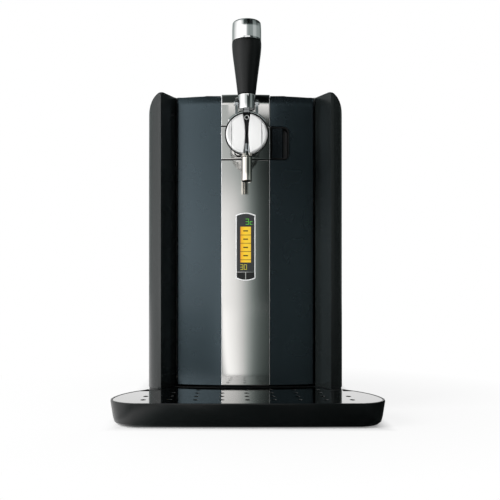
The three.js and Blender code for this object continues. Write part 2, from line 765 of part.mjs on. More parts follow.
function displayModule() {
  const board = box(-15, -99.6, 170, 15, -98, 268);
  const glass = box(-10.6, -103.6, 187, 10.6, -99, 258);
  const socket = box(-8, -98.5, 210, 8, -92, 218);
  return joined(board, glass, socket);
}

function latchCup() {
  const outer = along(cupOutline(0), DOOR_FRONT + 3, DOOR_FRONT + 3 + CUP_DEPTH);
  const well = along(inset(cupOutline(0), 1.6), AHEAD, DOOR_FRONT + 3 + CUP_DEPTH - 1.6);
  const ring = along(cupOutline(0), DOOR_FRONT, DOOR_FRONT + 8).subtract(well);
  const slope = upright(doorPlan(0), 300, 400);
  return joined(outer.subtract(well), ring.intersect(slope));
}

// The tab turns about a vertical line behind its left edge. It is made about that line.
function releaseTab() {
  const low = BAND_LOW + GROOVE / 2 + 2 - TAP_Z;
  const high = BAND_HIGH - GROOVE / 2 - 2 - TAP_Z;
  const plate = [[-1.2, -2.4], [12.4, -1.3], [13.3, 0.2], [12.4, 1.6], [11, 1], [-1.2, 0.6]];
  const barrel = cylinderZ(0, 0, 2.2, low, high, 16);
  const grooves = [0, 1, 2].map((i) => {
    const x = 7.2 + i * 1.8;
    return box(x, -3, low - 1, x + 0.6, -1.45 + i * 0.12, high + 1);
  });
  return cut(joined(upright(plate, low, high), barrel), ...grooves);
}

function doorLiner() {
  const plate = along(roundedRectangle(-90.2, 36.4, 90.2, 418.2, 6, 3), DOOR_BACK - 4.2, DOOR_BACK - 1.8);
  const raised = along(roundedRectangle(-82, 60, 82, 382, 8, 3), DOOR_BACK - 4, DOOR_BACK + 3);
  const dished = along(roundedRectangle(-78, 64, 78, 378, 6, 3), DOOR_BACK + 0.4, DOOR_BACK + 9);
  return cut(joined(plate, raised), dished, ...hingeRooms());
}

function doorSeal() {
  const ring = roundedRectangle(-91.6, 50.5, 91.6, 391, 9, 4);
  const hole = roundedRectangle(-88.2, 53.9, 88.2, 387.6, 6.6, 4);
  return along(ring, DOOR_BACK - 1.5, DOOR_BACK + 4.4, [hole]);
}

function latchTongue() {
  const plan = [[83, -73.5], [89, -73.5], [89, -70], [86.5, -62.4], [84.2, -62.4], [83, -66]];
  return upright(plan, 396.2, 400.8);
}

function strikePlate() {
  const y = FRAME_FRONT + WALL + GAP;
  return along(rectangle(78, 392.5, 93.6, 405), y, y + 1.6, [rectangle(...STRIKE_HOLE)]);
}

// The tap's body behind the round cover: an arched block with two lugs for the lever's pin, a
// slot for the lever's cam, and a groove for the spout. Its front edge is chamfered.
function tapHousing() {
  const { halfWidth, z: foot, corner } = TAP_FOOT;
  const lean = Math.acos(TAP_HALF_WIDTH / TAP_ARCH.radius) / DEGREES;
  const arch = [
    ...arc(-halfWidth + corner, foot + corner, corner, 180, 270, 4),
    ...arc(halfWidth - corner, foot + corner, corner, -90, 0, 4),
    [TAP_HALF_WIDTH, TAP_ARCH.z],
    ...arc(0, TAP_ARCH.z, TAP_ARCH.radius, lean, 180 - lean, 9),
    [-TAP_HALF_WIDTH, TAP_ARCH.z],
  ];
  const back = DOOR_FRONT - STRIP_PROUD - GAP;
  const deep = back - TAP_BACK - GAP;
  const block = lofted([
    { points: arch, z: 0 },
    { points: arch, z: deep - 1 },
    { points: inset(arch, 1), z: deep },
  ]).rotate([90, 0, 0]).translate([0, back, 0]);
  const neck = along(inset(arch, 2.5), back - 12, back);
  const waist = cut(along(inset(arch, -2), back - 8, back - 2.5), neck);
  const lugs = [-1, 1].map((side) => {
    const outline = [[LEVER_Y + 4.6, 380], ...arc(LEVER_Y, LEVER_Z, 4.4, 0, 180, 6), [LEVER_Y - 2.2, 380]];
    const inner = Math.min(side * 11.1, side * 14.6);
    return across(outline, inner, inner + 3.5);
  });
  const slot = box(-4.6, -172, 366, 4.6, -146, 400);
  const spoutRoom = cylinderZ(0, SPOUT_Y, SPOUT_STEM + GAP, 330, 344.4, 16);
  const pinHole = cylinderX(LEVER_Y, LEVER_Z, PIN_RADIUS + GAP, -20, 20, 16);
  return cut(joined(cut(block, waist), ...lugs), slot, spoutRoom, pinHole);
}

// The room that the spout needs in the pieces in front of the tap's body, in the tap's own frame.
function spoutRoom() {
  const narrow = SPOUT_STEM + GAP;
  const cone = [[8.4, -27.2], [6.6, -24.4], [narrow, -20.8]];
  const room = [[0, -40], [8.4, -40], ...cone, [narrow, -11.6], [0, -11.6]];
  return turned(room, 0, SPOUT_Y - TAP_BACK, 16);
}

// The part of a body, in the tap's own frame, that is left in front of a plane when the body has
// leaned back with the cover's face.
function leaned(body, plane) {
  return body.rotate([-COVER_LEAN, 0, 0]).intersect(box(-40, -20, -40, 40, plane, 40));
}

// One half of the tap's round cover, in the tap's own frame. Its face leans back. It is a shallow
// arc from the cleft to a shut line, past which it falls away to the rim. The cleft between the
// halves is wide at the top, narrow in the middle and opens again over the spout.
function tapCover(sign) {
  const rim = 2.2;
  const disc = turned(
    [
      [0, -6],
      [COVER_RADIUS, -6],
      ...arc(COVER_RADIUS - rim, COVER_THICK - rim, rim, 0, 90, 4),
      [0, COVER_THICK],
    ],
    0,
    0,
    40,
  ).rotate([90, 0, 0]);
  const shut = 19.2;
  const faceRadius = 75;
  const crest = 8.5;
  const section = [];
  for (let x = 1.5; x <= shut - 0.4; x += 2.15)
    section.push([x, -COVER_THICK + faceRadius - Math.sqrt(faceRadius ** 2 - (x - crest) ** 2)]);
  const edge = section.at(-1)[1];
  const profile = [
    [1.5, 6],
    ...section,
    [shut - 0.35, edge + 0.2],
    [shut - 0.35, edge + 0.8],
    [shut + 0.35, edge + 0.8],
    [shut + 0.35, edge + 0.3],
    [22.8, edge + 0.9],
    [25.2, edge + 2.2],
    [COVER_RADIUS + 1, edge + 4],
    [COVER_RADIUS + 1, 6],
  ];
  const facing = profile.map(([x, y]) => [sign * x, y]);
  const ordered = sign > 0 ? facing.reverse() : facing;
  const faced = disc.intersect(upright(ordered, -40, 40));
  const cleft = [];
  for (let z = -30; z <= 30; z += 5) cleft.push([sign * cleftHalf(z), z]);
  const spread = cleft.map(([x, z]) => [x + sign * 1.6, z]);
  const away = sign * -10;
  const close = (edgePoints) => {
    const loop = [...edgePoints, [away, 30], [away, -30]];
    return sign > 0 ? loop : loop.reverse();
  };
  const wedge = along(close(cleft), -20, 10);
  const chamfer = along(close(spread), -20, -COVER_THICK + 1.6);
  return leaned(cut(faced, wedge, chamfer), -RING_THICK - GAP).subtract(spoutRoom());
}

// Half the cleft's width at a height above the tap's middle.
function cleftHalf(z) {
  const narrow = 1.9;
  return z > 0 ? narrow + 3.2 * (z / 27) ** 2 : narrow + 2.6 * (z / 27) ** 2;
}

// The bar between the two halves, with the little hole at its top, and the dark ring behind both.
function tapCore() {
  const bar = [];
  for (let z = -11; z <= 25; z += 3) bar.push([cleftHalf(z) - 0.35, z]);
  const core = leaned(along(mirrored(bar), -4.6, 5), -RING_THICK / 2);
  const ring = along(arc(0, RING_RISE, RING_RADIUS, 0, 351, 39), -RING_THICK, 0);
  const hole = cylinderY(0, 21.4, 1.7, -10, -1.4, 12);
  return cut(joined(core, ring), spoutRoom(), hole);
}

function spout() {
  const low = SPOUT_TIP;
  return turned(
    [
      [SPOUT_BORE, low],
      [SPOUT_RADIUS - 0.4, low],
      [SPOUT_RADIUS, low + 0.6],
      [SPOUT_RADIUS, 326.6],
      [8, 327.4],
      [8, 328.6],
      [6.2, 331.4],
      [SPOUT_STEM, 335],
      [SPOUT_STEM, 344],
      [SPOUT_BORE, 344],
      [SPOUT_BORE, low],
    ],
    0,
    SPOUT_Y,
    18,
  );
}

// The chromed collar and the stem that the grip is pressed on.
function leverCollar() {
  const body = turned(
    [[0, -8], [9.9, -8], [10.5, -7.2], [10.5, 9.4], [10.1, 10.4], [4, 10.4], [4, 60], [0, 60]],
    0,
    0,
    24,
  );
  return body.subtract(cylinderX(0, 0, PIN_RADIUS + GAP, -15, 15, 12));
}

function leverCam() {
  return joined(box(-3.4, -2.1, -22, 3.4, 4, -8.3), cylinderX(0, -22, 2.2, -3.4, 3.4, 12));
}

function leverGrip() {
  return turned(
    [
      [4.3, 10.7],
      [10.6, 10.7],
      [11.2, 11.6],
      [12.6, 26],
      [15.2, 48],
      [17.3, 64],
      [18.3, 72],
      [18.4, 78],
      [18.1, 81],
      [4.3, 81],
      [4.3, 10.7],
    ],
    0,
    0,
    24,
  );
}

function leverCap() {
  const top = 108;
  return turned(
    [
      [0, 81.3],
      [18.1, 81.3],
      [18.4, 82],
      [18.4, 90],
      [17.9, 97.5],
      [17.2, 99.8],
      [15.7, 102.3],
      [14, 104.4],
      [11.9, 106],
      [8.6, 107.6],
      [0, top],
    ],
    0,
    0,
    24,
  );
}

function leverPin() {
  const head = [[0, 0], [2.6, 0], [3.1, 0.5], [3.1, 1], [2, 1], [2, 32.2], [0, 32.2]];
  return turned(head, 0, 0, 12).rotate([0, 90, 0]).translate([-16.2, 0, 0]);
}

// The drip tray's outline from above. The front is nearly straight, its corners are round, and
// the sides sweep back to the housing, where the outline runs round the wings and the door.
function trayPlan() {
  const [tipX, tipY] = TRAY_TIP;
  const corner = { across: 42, deep: 38.5 };
  const steps = 6;
  const front = Array.from({ length: steps - 1 }, (_, i) => {
    const angle = (-90 + (90 * (i + 1)) / steps) * DEGREES;
    return [tipX - corner.across + corner.across * Math.cos(angle), tipY + corner.deep * Math.sin(angle)];
  });
  const sweep = 118;
  return mirrored([
    [0, TRAY_FRONT],
    [70, TRAY_FRONT + 0.4],
    [tipX - corner.across, TRAY_FRONT + 1.4],
    ...front,
    ...arc(tipX - sweep, tipY, sweep, 0, 44, 6),
    [RIDGE[0] + 17.5, RIDGE[1] + 2.8],
    [RIDGE[0] + 9, RIDGE[1] - 4],
    [RIDGE[0] - 0.4, RIDGE[1] - 2.6],
    ...doorPlanFront(2.4),
  ]);
}

// The line just in front of the door, from its right corner to the middle.
function doorPlanFront(gap) {
  const radius = DOOR_RADIUS + gap;
  const lean = Math.asin((JAMB[0] - 2.5) / radius) / DEGREES;
  return arc(0, DOOR_FRONT + DOOR_RADIUS, radius, -90 + lean, -90, 5);
}

function dripTray() {
  const rim = outlines.tray;
  const outer = lofted([
    { points: inset(rim, 8), z: TRAY_BOTTOM },
    { points: inset(rim, 4.8), z: 4.2 },
    { points: inset(rim, 3), z: 11 },
    { points: inset(rim, 0.3), z: 28.6 },
    { points: inset(rim, 0.5), z: TRAY_TOP },
  ]);
  const seat = upright(inset(rim, 2.4), TRAY_TOP - PLATE_SHEET - 0.6, 40);
  const basin = upright(inset(rim, 7.5), 5, 40);
  const prongs = [-PRONG_X, PRONG_X].map((x) =>
    box(x - PRONG_HALF_WIDTH, -112, 9, x + PRONG_HALF_WIDTH, -60, 19),
  );
  const walls = joined(outer.subtract(seat), ...prongs);
  return walls.subtract(basin);
}

function trayPad() {
  return turned([[0, 0], [9.2, 0], [9.6, 1.2], [0, 1.2]], 0, 0, 16);
}

// A steel plate with rows of short slots, which widen towards the front rows.
function dripPlate() {
  const low = TRAY_TOP - PLATE_SHEET - GAP;
  const plate = upright(inset(outlines.tray, 2.9), low, low + PLATE_SHEET);
  const slots = SLOT_ROWS.flatMap((y, row) => {
    const reach = row < 2 ? 4 : 3;
    return Array.from({ length: 2 * reach + 1 }, (_, i) => {
      const x = (i - reach) * SLOT_PITCH;
      const rearEnd = arc(x, y + SLOT_REACH, SLOT_RADIUS, 0, 180, 2);
      const frontEnd = arc(x, y - SLOT_REACH, SLOT_RADIUS, 180, 360, 2);
      return upright([...rearEnd, ...frontEnd], low - 5, low + 5);
    });
  });
  const notches = [-1, 1].map((side) => {
    const points = [[126, -140.5], [140, -140.5], [140, -110], [126, -110]].map(([x, y]) => [side * x, y]);
    return upright(side > 0 ? points : points.reverse(), 20, 40);
  });
  return cut(plate, ...slots, ...notches);
}

function dockingFrame() {
  const plan = chamberPlan(CHAMBER_HALF_WIDTH + LINER, FRAME_FRONT + WALL + GAP);
  const plate = upright(plan, CHAMBER_TOP + GAP, CHAMBER_TOP + 3.3);
  const [pivotY, pivotZ] = DOCK_PIVOT;
  const lugs = [-1, 1].map((side) => {
    const outline = [...arc(pivotY, pivotZ, 7, 180, 360, 6), [pivotY + 7, 387], [pivotY - 7, 387]];
    const inner = Math.min(side * 35, side * 38.5);
    return across(outline, inner, inner + 3.5);
  });
  const guide = cylinderZ(0, DOCK_HEAD_Y, 15, 386, 394, 16);
  const bore = cylinderZ(0, DOCK_HEAD_Y, 10, 370, 400, 16);
  const pinHole = cylinderX(pivotY, pivotZ, 3.3, -50, 50, 12);
  return cut(joined(plate, guide, ...lugs), bore, pinHole);
}

function dockingPin() {
  return cylinderX(DOCK_PIVOT[0], DOCK_PIVOT[1], 3, -40, 40, 12);
}

// The bail that presses the docking head down, about its pin: two arms and a front bar. The
// head's studs run in the arms' slots.
function dockingBail() {
  const reach = DOCK_HEAD_Y - DOCK_PIVOT[0];
  const arms = [-1, 1].map((side) => {
    const outline = [...arc(0, 0, 6, -90, 90, 6), [-110, 5], [-110, -5]];
    const slot = roundedRectangle(reach - 5, -2.9, reach + 5, 2.9, 2.8, 2);
    const inner = Math.min(side * 30, side * 33.6);
    return across(outline, inner, inner + 3.6, [slot.reverse()]);
  });
  const bar = across(roundedRectangle(-117, -5, -104, 5, 2.5, 3), -33.6, 33.6);
  const pinHole = cylinderX(0, 0, 3.3, -50, 50, 12);
  return cut(joined(bar, ...arms), pinHole);
}

function dockingHead() {
  const bell = [[0, 353], [14, 353], [14, 348], [22, 348], [24, 351], [24, 360], [18, 366], [9.6, 368]];
  const head = turned([...bell, [9.6, 398], [0, 398]], 0, DOCK_HEAD_Y, 16);
  const stud = cylinderX(DOCK_HEAD_Y, DOCK_PIVOT[1], 2.5, -35, 35, 10);
  return joined(head, stud);
}

function dockingSeal() {
  return turned([[7, 348.6], [13.6, 348.6], [13.6, 352.7], [7, 352.7], [7, 348.6]], 0, DOCK_HEAD_Y, 16);
}

function buildHousing() {
  const housing = new THREE.Group();
  piece(housing, "base_pan", basePan(), "satin_black");
  piece(housing, "side_panel_left", sidePanel(-1), "gloss_black");
  piece(housing, "side_panel_right", sidePanel(1), "gloss_black");
  piece(housing, "top_cover", topCover(), "satin_black");
  piece(housing, "front_frame", frontFrame(), "satin_black");
  piece(housing, "rear_cover", rearCover(), "satin_black");
  for (const [name, x, y] of [
    ["foot_front_left", -111, -86],
    ["foot_front_right", 111, -86],
    ["foot_rear_left", -100, 214],
    ["foot_rear_right", 100, 214],
  ])
    piece(housing, name, foot(), "rubber", [x, y, 0]);
  for (const [i, name] of ["hinge_bracket_lower", "hinge_bracket_upper"].entries())
    piece(housing, name, hingeBracket(), "plain_steel", [...HINGE, HINGE_HEIGHTS[i]]);
  piece(housing, "latch_strike", strikePlate(), "plain_steel");
  return housing;
}

function buildChamber() {
  const chamber = new THREE.Group();
  piece(chamber, "chamber_liner", chamberLiner(), "grey_plastic");
  piece(chamber, "foam_jacket", foamJacket(), "foam");
  piece(chamber, "keg_seat", kegSeat(), "rubber");
  piece(chamber, "docking_frame", dockingFrame(), "satin_black");
  piece(chamber, "docking_pin", dockingPin(), "plain_steel");
  piece(chamber, "docking_bail", dockingBail(), "grey_plastic", [0, ...DOCK_PIVOT]);
  piece(chamber, "docking_head", dockingHead(), "grey_plastic");
  piece(chamber, "docking_seal", dockingSeal(), "rubber");
  return chamber;
}

function buildCooler() {
  const cooler = new THREE.Group();
  piece(cooler, "cooling_plate", coolingPlate(), "aluminium");
  piece(cooler, "thermoelectric_module", box(-20, 152.4, 182, 20, 156.2, 222), "ceramic_white");
  piece(cooler, "heat_sink", heatSink(), "aluminium");
  piece(cooler, "fan_frame", fanFrame(), "satin_black");
  piece(cooler, "fan_rotor", fanRotor(), "satin_black", [0, (FAN.front + FAN.rear) / 2 - 1, FAN.z]);
  piece(cooler, "air_pump", airPump(), "grey_plastic", [-86, 175, PAN_FLOOR + GAP + 4]);
  piece(cooler, "control_board", controlBoard(), "board_green", [-24, 188, PAN_FLOOR + GAP]);
  piece(cooler, "power_supply", powerSupply(), "plain_steel");
  piece(cooler, "power_inlet", powerInlet(), "satin_black");
  return cooler;
}

function buildDoor() {
  const door = new THREE.Group();
  piece(door, "door_frame", doorFrame(), "satin_black");
  piece(door, "door_panel_left", doorPanel(-1), "slate_lacquer");
  piece(door, "door_panel_right", doorPanel(1), "slate_lacquer");
  piece(door, "strip_upper", stripPiece(BAND_HIGH + GROOVE / 2, ABOVE), "polished_steel");
  piece(door, "band_plate", stripPiece(BAND_LOW + GROOVE / 2, BAND_HIGH - GROOVE / 2), "polished_steel");
  piece(door, "strip_lower", stripLower(), "polished_steel");
  piece(door, "door_liner", doorLiner(), "grey_plastic");
  piece(door, "door_seal", doorSeal(), "rubber");
  piece(door, "display_lens", displayLens(), "lens");
  piece(door, "display_module", displayModule(), "board_green");
  const buttonPlace = [0, DOOR_FRONT + 0.9, 0];
  piece(door, "button_left", displayButton(-1), "satin_black", buttonPlace);
  piece(door, "button_right", displayButton(1), "satin_black", buttonPlace);
  piece(door, "latch_cup", latchCup(), "satin_black");
  piece(door, "release_tab", releaseTab(), "gloss_black", [...TAB_PIVOT, TAP_Z]);
  piece(door, "latch_tongue", latchTongue(), "plain_steel");
  return door;
}

function buildTap() {
  const tap = new THREE.Group();
  piece(tap, "tap_housing", tapHousing(), "chrome");
  const face = [0, TAP_BACK, TAP_Z];
  piece(tap, "tap_cover_left", tapCover(-1), "chrome", face);
  piece(tap, "tap_cover_right", tapCover(1), "chrome", face);
  piece(tap, "tap_core", tapCore(), "satin_black", face);
  piece(tap, "spout", spout(), "chrome");
  const pivot = [0, LEVER_Y, LEVER_Z];
  piece(tap, "lever_pin", leverPin(), "chrome", pivot);
  const lever = new THREE.Group();
  lever.position.set(...pivot);
  piece(lever, "lever_collar", leverCollar(), "chrome");
  piece(lever, "lever_cam", leverCam(), "plain_steel");
  piece(lever, "lever_grip", leverGrip(), "grip_black");
  piece(lever, "lever_cap", leverCap(), "chrome");
  tap.add(lever);
  return tap;
}

function buildTray() {
  const tray = new THREE.Group();
  piece(tray, "drip_tray", dripTray(), "gloss_black");
  piece(tray, "tray_pad_left", trayPad(), "rubber", [-108, -214, 0]);
  piece(tray, "tray_pad_right", trayPad(), "rubber", [108, -214, 0]);
  piece(tray, "drip_plate", dripPlate(), "polished_steel");
  return tray;
}

const dispenser = new THREE.Group();
dispenser.name = "mini_keg_dispenser";
dispenser.add(buildHousing());
dispenser.add(buildChamber());
dispenser.add(buildCooler());
dispenser.add(buildDoor());
dispenser.add(buildTap());
dispenser.add(buildTray());

export default dispenser;
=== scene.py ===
"""The looks of a countertop beer dispenser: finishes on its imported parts, and fine surfaces for
the steel strip, the tap, the lever and the display. Lengths are metres, +Z is up, and the tap
faces -Y."""
import json
import math

import bmesh
import bpy
import numpy as np
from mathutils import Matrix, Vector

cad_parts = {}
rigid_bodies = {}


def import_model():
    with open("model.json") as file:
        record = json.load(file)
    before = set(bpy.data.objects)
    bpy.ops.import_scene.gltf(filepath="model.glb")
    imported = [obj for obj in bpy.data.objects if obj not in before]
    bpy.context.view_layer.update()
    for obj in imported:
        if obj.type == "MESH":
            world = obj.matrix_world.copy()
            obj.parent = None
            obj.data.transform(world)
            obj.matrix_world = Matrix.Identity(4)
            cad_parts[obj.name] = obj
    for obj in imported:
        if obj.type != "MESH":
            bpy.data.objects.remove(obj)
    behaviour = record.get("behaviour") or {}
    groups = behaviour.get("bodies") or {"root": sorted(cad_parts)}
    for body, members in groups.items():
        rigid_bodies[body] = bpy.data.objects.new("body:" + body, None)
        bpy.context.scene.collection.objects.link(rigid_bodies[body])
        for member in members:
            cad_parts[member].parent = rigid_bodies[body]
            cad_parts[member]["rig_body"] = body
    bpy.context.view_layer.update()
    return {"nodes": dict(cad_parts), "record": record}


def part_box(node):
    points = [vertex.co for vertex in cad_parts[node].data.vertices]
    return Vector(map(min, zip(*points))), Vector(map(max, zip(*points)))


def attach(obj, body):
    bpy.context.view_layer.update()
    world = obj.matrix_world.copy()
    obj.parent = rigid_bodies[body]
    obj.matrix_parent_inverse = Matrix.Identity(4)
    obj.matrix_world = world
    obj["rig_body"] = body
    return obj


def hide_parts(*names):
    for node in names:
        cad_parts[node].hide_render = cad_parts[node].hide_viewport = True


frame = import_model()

MICRON = 0.000001

# The door's front is part of an upright cylinder, whose axis lies at this y. Half the door is
# this wide.
DOOR_FRONT = -0.1055
DOOR_RADIUS = 0.330
DOOR_AXIS = DOOR_FRONT + DOOR_RADIUS
DOOR_SIDE = 0.112

# The strip stands a little proud of the door's front, and is this thick behind it
STRIP_PROUD = 0.001
STRIP_RADIUS = DOOR_RADIUS + STRIP_PROUD
STRIP_BACK = 0.0025

# The top edges of the door's panels and of the strip bend back, over a height and by a depth
PANEL_BEND_TALL = 0.014
PANEL_BEND_DEEP = 0.0024
STRIP_BEND_TALL = 0.0165
STRIP_BEND_DEEP = 0.006

# The height of the tap's middle, the upright plane that its cover is measured from, and the lines
# of its spout and its lever
TAP_Z = 0.356
TAP_BACK = -0.1663
SPOUT_Y = -0.1695
LEVER_Y = -0.1635
LEVER_Z = 0.3965

# The tap's round cover leans back. Its flat back lies this far in front of the plane above, and
# a shut line runs down each half at this distance from the middle.
COVER_RADIUS = 0.0262
COVER_THICK = 0.007
COVER_LEAN = math.radians(8)
COVER_PLANE = -0.0015
COVER_SHUT = 0.0192

# The yellow field of the display, whose middle lies at x = 0
LEVEL_HALF = 0.0071
LEVEL_LOW = 0.1976
LEVEL_HIGH = 0.2455

# The sphere of light that reflections see
DOME_RADIUS = 6.0

# The photograph's camera: its place, its lens, and where its axis meets the picture
CAMERA_PLACE = (-0.0236, -1.0985, 0.1607)
CAMERA_LENS = 53.28
CAMERA_SHIFT = (0.044, 0.080)


# Materials

# The colour sockets of a Mix node, by number, since its other sockets share their names
MIX_FIRST, MIX_SECOND, MIX_RESULT = 6, 7, 2


class Field:
    """A number or colour on its way through a material's nodes. Arithmetic adds Math nodes."""

    def __init__(self, finish, socket):
        self.finish = finish
        self.socket = socket

    def __add__(self, other):
        return self.finish.maths("ADD", self, other)

    __radd__ = __add__

    def __sub__(self, other):
        return self.finish.maths("SUBTRACT", self, other)

    def __mul__(self, other):
        return self.finish.maths("MULTIPLY", self, other)

    __rmul__ = __mul__

    def __truediv__(self, other):
        return self.finish.maths("DIVIDE", self, other)

    def __lt__(self, other):
        return self.finish.maths("LESS_THAN", self, other)


class Finish:
    """One material. Numbers and colours are set on its shader's sockets, and fields are linked."""

    def __init__(self, name, **sockets):
        self.material = bpy.data.materials.new(name)
        self.material.use_nodes = True
        self.tree = self.material.node_tree
        self.shader = self.tree.nodes["Principled BSDF"]
        self.place = self.node("ShaderNodeTexCoord", {}, {}, "Object")
        self.set(**sockets)

    def feed(self, socket, value):
        """Links a field to a socket, or sets the socket to a number or a colour."""
        if isinstance(value, Field):
            self.tree.links.new(value.socket, socket)
        elif isinstance(value, tuple) and socket.type == "RGBA":
            socket.default_value = (*value, 1)
        else:
            socket.default_value = value

    def set(self, **sockets):
        """Feeds the shader's sockets, named in small letters."""
        for name, value in sockets.items():
            title = name.replace("_", " ").title().replace("Ior", "IOR")
            self.feed(self.shader.inputs[title], value)

    def node(self, kind, settings, inputs, output=0):
        """A node of any kind: its settings, or a ramp's stops, come first, and then its sockets."""
        made = self.tree.nodes.new(kind)
        for name, value in settings.items():
            if name == "stops":
                fill_ramp(made.color_ramp, value)
            else:
                setattr(made, name, value)
        for name, value in inputs.items():
            self.feed(made.inputs[name], value)
        return Field(self, made.outputs[output])

    def maths(self, operation, *values):
        return self.node("ShaderNodeMath", {"operation": operation}, dict(enumerate(values)))

    def blend(self, share, first, second, how="MIX"):
        settings = {"data_type": "RGBA", "blend_type": how}
        inputs = {"Factor": share, MIX_FIRST: first, MIX_SECOND: second}
        return self.node("ShaderNodeMix", settings, inputs, MIX_RESULT)

    def ramp(self, value, *stops):
        return self.node("ShaderNodeValToRGB", {"stops": stops}, {"Fac": value})

    def noise(self, scale, detail, stretch=(1, 1, 1)):
        vector = self.node("ShaderNodeMapping", {}, {"Vector": self.place, "Scale": stretch})
        inputs = {"Vector": vector, "Scale": scale, "Detail": detail}
        return self.node("ShaderNodeTexNoise", {}, inputs)

    def axis(self, name):
        return self.node("ShaderNodeSeparateXYZ", {}, {"Vector": self.place}, name)

    def relief(self, height, microns):
        inputs = {"Height": height, "Distance": microns * MICRON, "Strength": 1.0}
        self.set(normal=self.node("ShaderNodeBump", {}, inputs))

    def gives(self, shader):
        """Puts another shader's output in the place of the material's own."""
        self.tree.links.new(shader, self.tree.nodes["Material Output"].inputs["Surface"])


def fill_ramp(ramp, stops):
    """Sets a ramp's stops from (position, colour) pairs, where a number stands for a grey."""
    while len(ramp.elements) < len(stops):
        ramp.elements.new(1.0)
    for element, (position, colour) in zip(ramp.elements, stops):
        element.position = position
        element.color = (*colour, 1) if isinstance(colour, tuple) else (colour, colour, colour, 1)


def times(share, colour):
    """A colour made darker or lighter by a share."""
    return tuple(share * part for part in colour)


def moulded(name, colour, roughness, grain, microns, shine):
    """Moulded plastic: a fine grain in its relief, and faint cloudy changes in colour and gloss."""
    finish = Finish(name, specular_ior_level=shine)
    cloud = finish.noise(scale=14, detail=3)
    finish.set(base_color=finish.blend(cloud, times(0.85, colour), times(1.15, colour)))
    finish.set(roughness=roughness + 0.10 * (finish.noise(scale=60, detail=4) - 0.5))
    finish.relief(finish.noise(grain, detail=1), microns)
    return finish.material


def lacquer(name, dark, light):
    """Metallic lacquer: flakes of a few tenths of a millimetre under a thin gloss coat."""
    finish = Finish(name, metallic=0.9, coat_weight=0.12, coat_roughness=0.08)
    flake = finish.ramp(finish.noise(scale=2400, detail=1), (0.35, 0), (0.70, 1))
    finish.set(base_color=finish.blend(flake, dark, light))
    finish.set(roughness=0.27 + 0.05 * (finish.noise(scale=30, detail=3) - 0.5))
    finish.relief(finish.noise(scale=320, detail=1), microns=6)
    return finish.material


def brushed(name, colour, roughness, stretch, microns):
    """Polished sheet metal: fine lines along one direction, in gloss and relief."""
    finish = Finish(name, metallic=1.0)
    lines = finish.noise(scale=1, detail=3, stretch=stretch)
    cloud = finish.noise(scale=22, detail=2)
    finish.set(base_color=finish.blend(cloud, times(0.95, colour), colour))
    finish.set(roughness=roughness + 0.08 * (lines - 0.5) + 0.04 * (cloud - 0.5))
    finish.relief(lines, microns)
    return finish.material


def plated(name, colour, roughness, metallic, shut=None):
    """Bright plating: a nearly even mirror with faint smears. Satin plating is less metallic.
    Where shut is given, the plating in the groove at that distance from the middle is painted dark
    grey as shade."""
    finish = Finish(name, metallic=metallic, base_color=colour)
    if shut:
        # painted shade: the plating in the shut line's groove is coloured dark grey
        half_groove, painted_groove_shade = 0.00026, (0.10, 0.11, 0.11)
        off = finish.maths("ABSOLUTE", finish.maths("ABSOLUTE", finish.axis("X")) - shut)
        finish.set(base_color=finish.blend(off < half_groove, colour, painted_groove_shade))
    smears = finish.noise(scale=45, detail=5, stretch=(1, 1, 0.4))
    finish.set(roughness=roughness + 0.05 * finish.ramp(smears, (0.40, 0), (0.75, 1)))
    finish.relief(finish.noise(scale=160, detail=1), microns=2)
    return finish.material


def lit(name, colour, strength):
    """A lit figure of the display: even light with a little fall-off in patches."""
    unlit = (0.01, 0.01, 0.01)
    finish = Finish(name, base_color=unlit, roughness=0.25, emission_strength=strength)
    cloud = finish.noise(scale=220, detail=2)
    finish.set(emission_color=finish.blend(cloud, times(0.80, colour), colour))
    return finish.material


def level_light(name, unlit, patches, strength):
    """The level's yellow field, whose light turns orange towards its left edge and in patches."""
    finish = Finish(name, base_color=unlit, roughness=0.3, emission_strength=strength)
    across = (finish.axis("X") + LEVEL_HALF) / (2 * LEVEL_HALF)
    colour = finish.ramp(
        across,
        (0.00, (0.70, 0.20, 0.02)),
        (0.12, (0.88, 0.50, 0.02)),
        (0.45, (0.98, 0.66, 0.03)),
        (1.00, (0.90, 0.60, 0.05)),
    )
    share = 0.25 * finish.noise(scale=300, detail=2)
    finish.set(emission_color=finish.blend(share, colour, patches))
    return finish.material


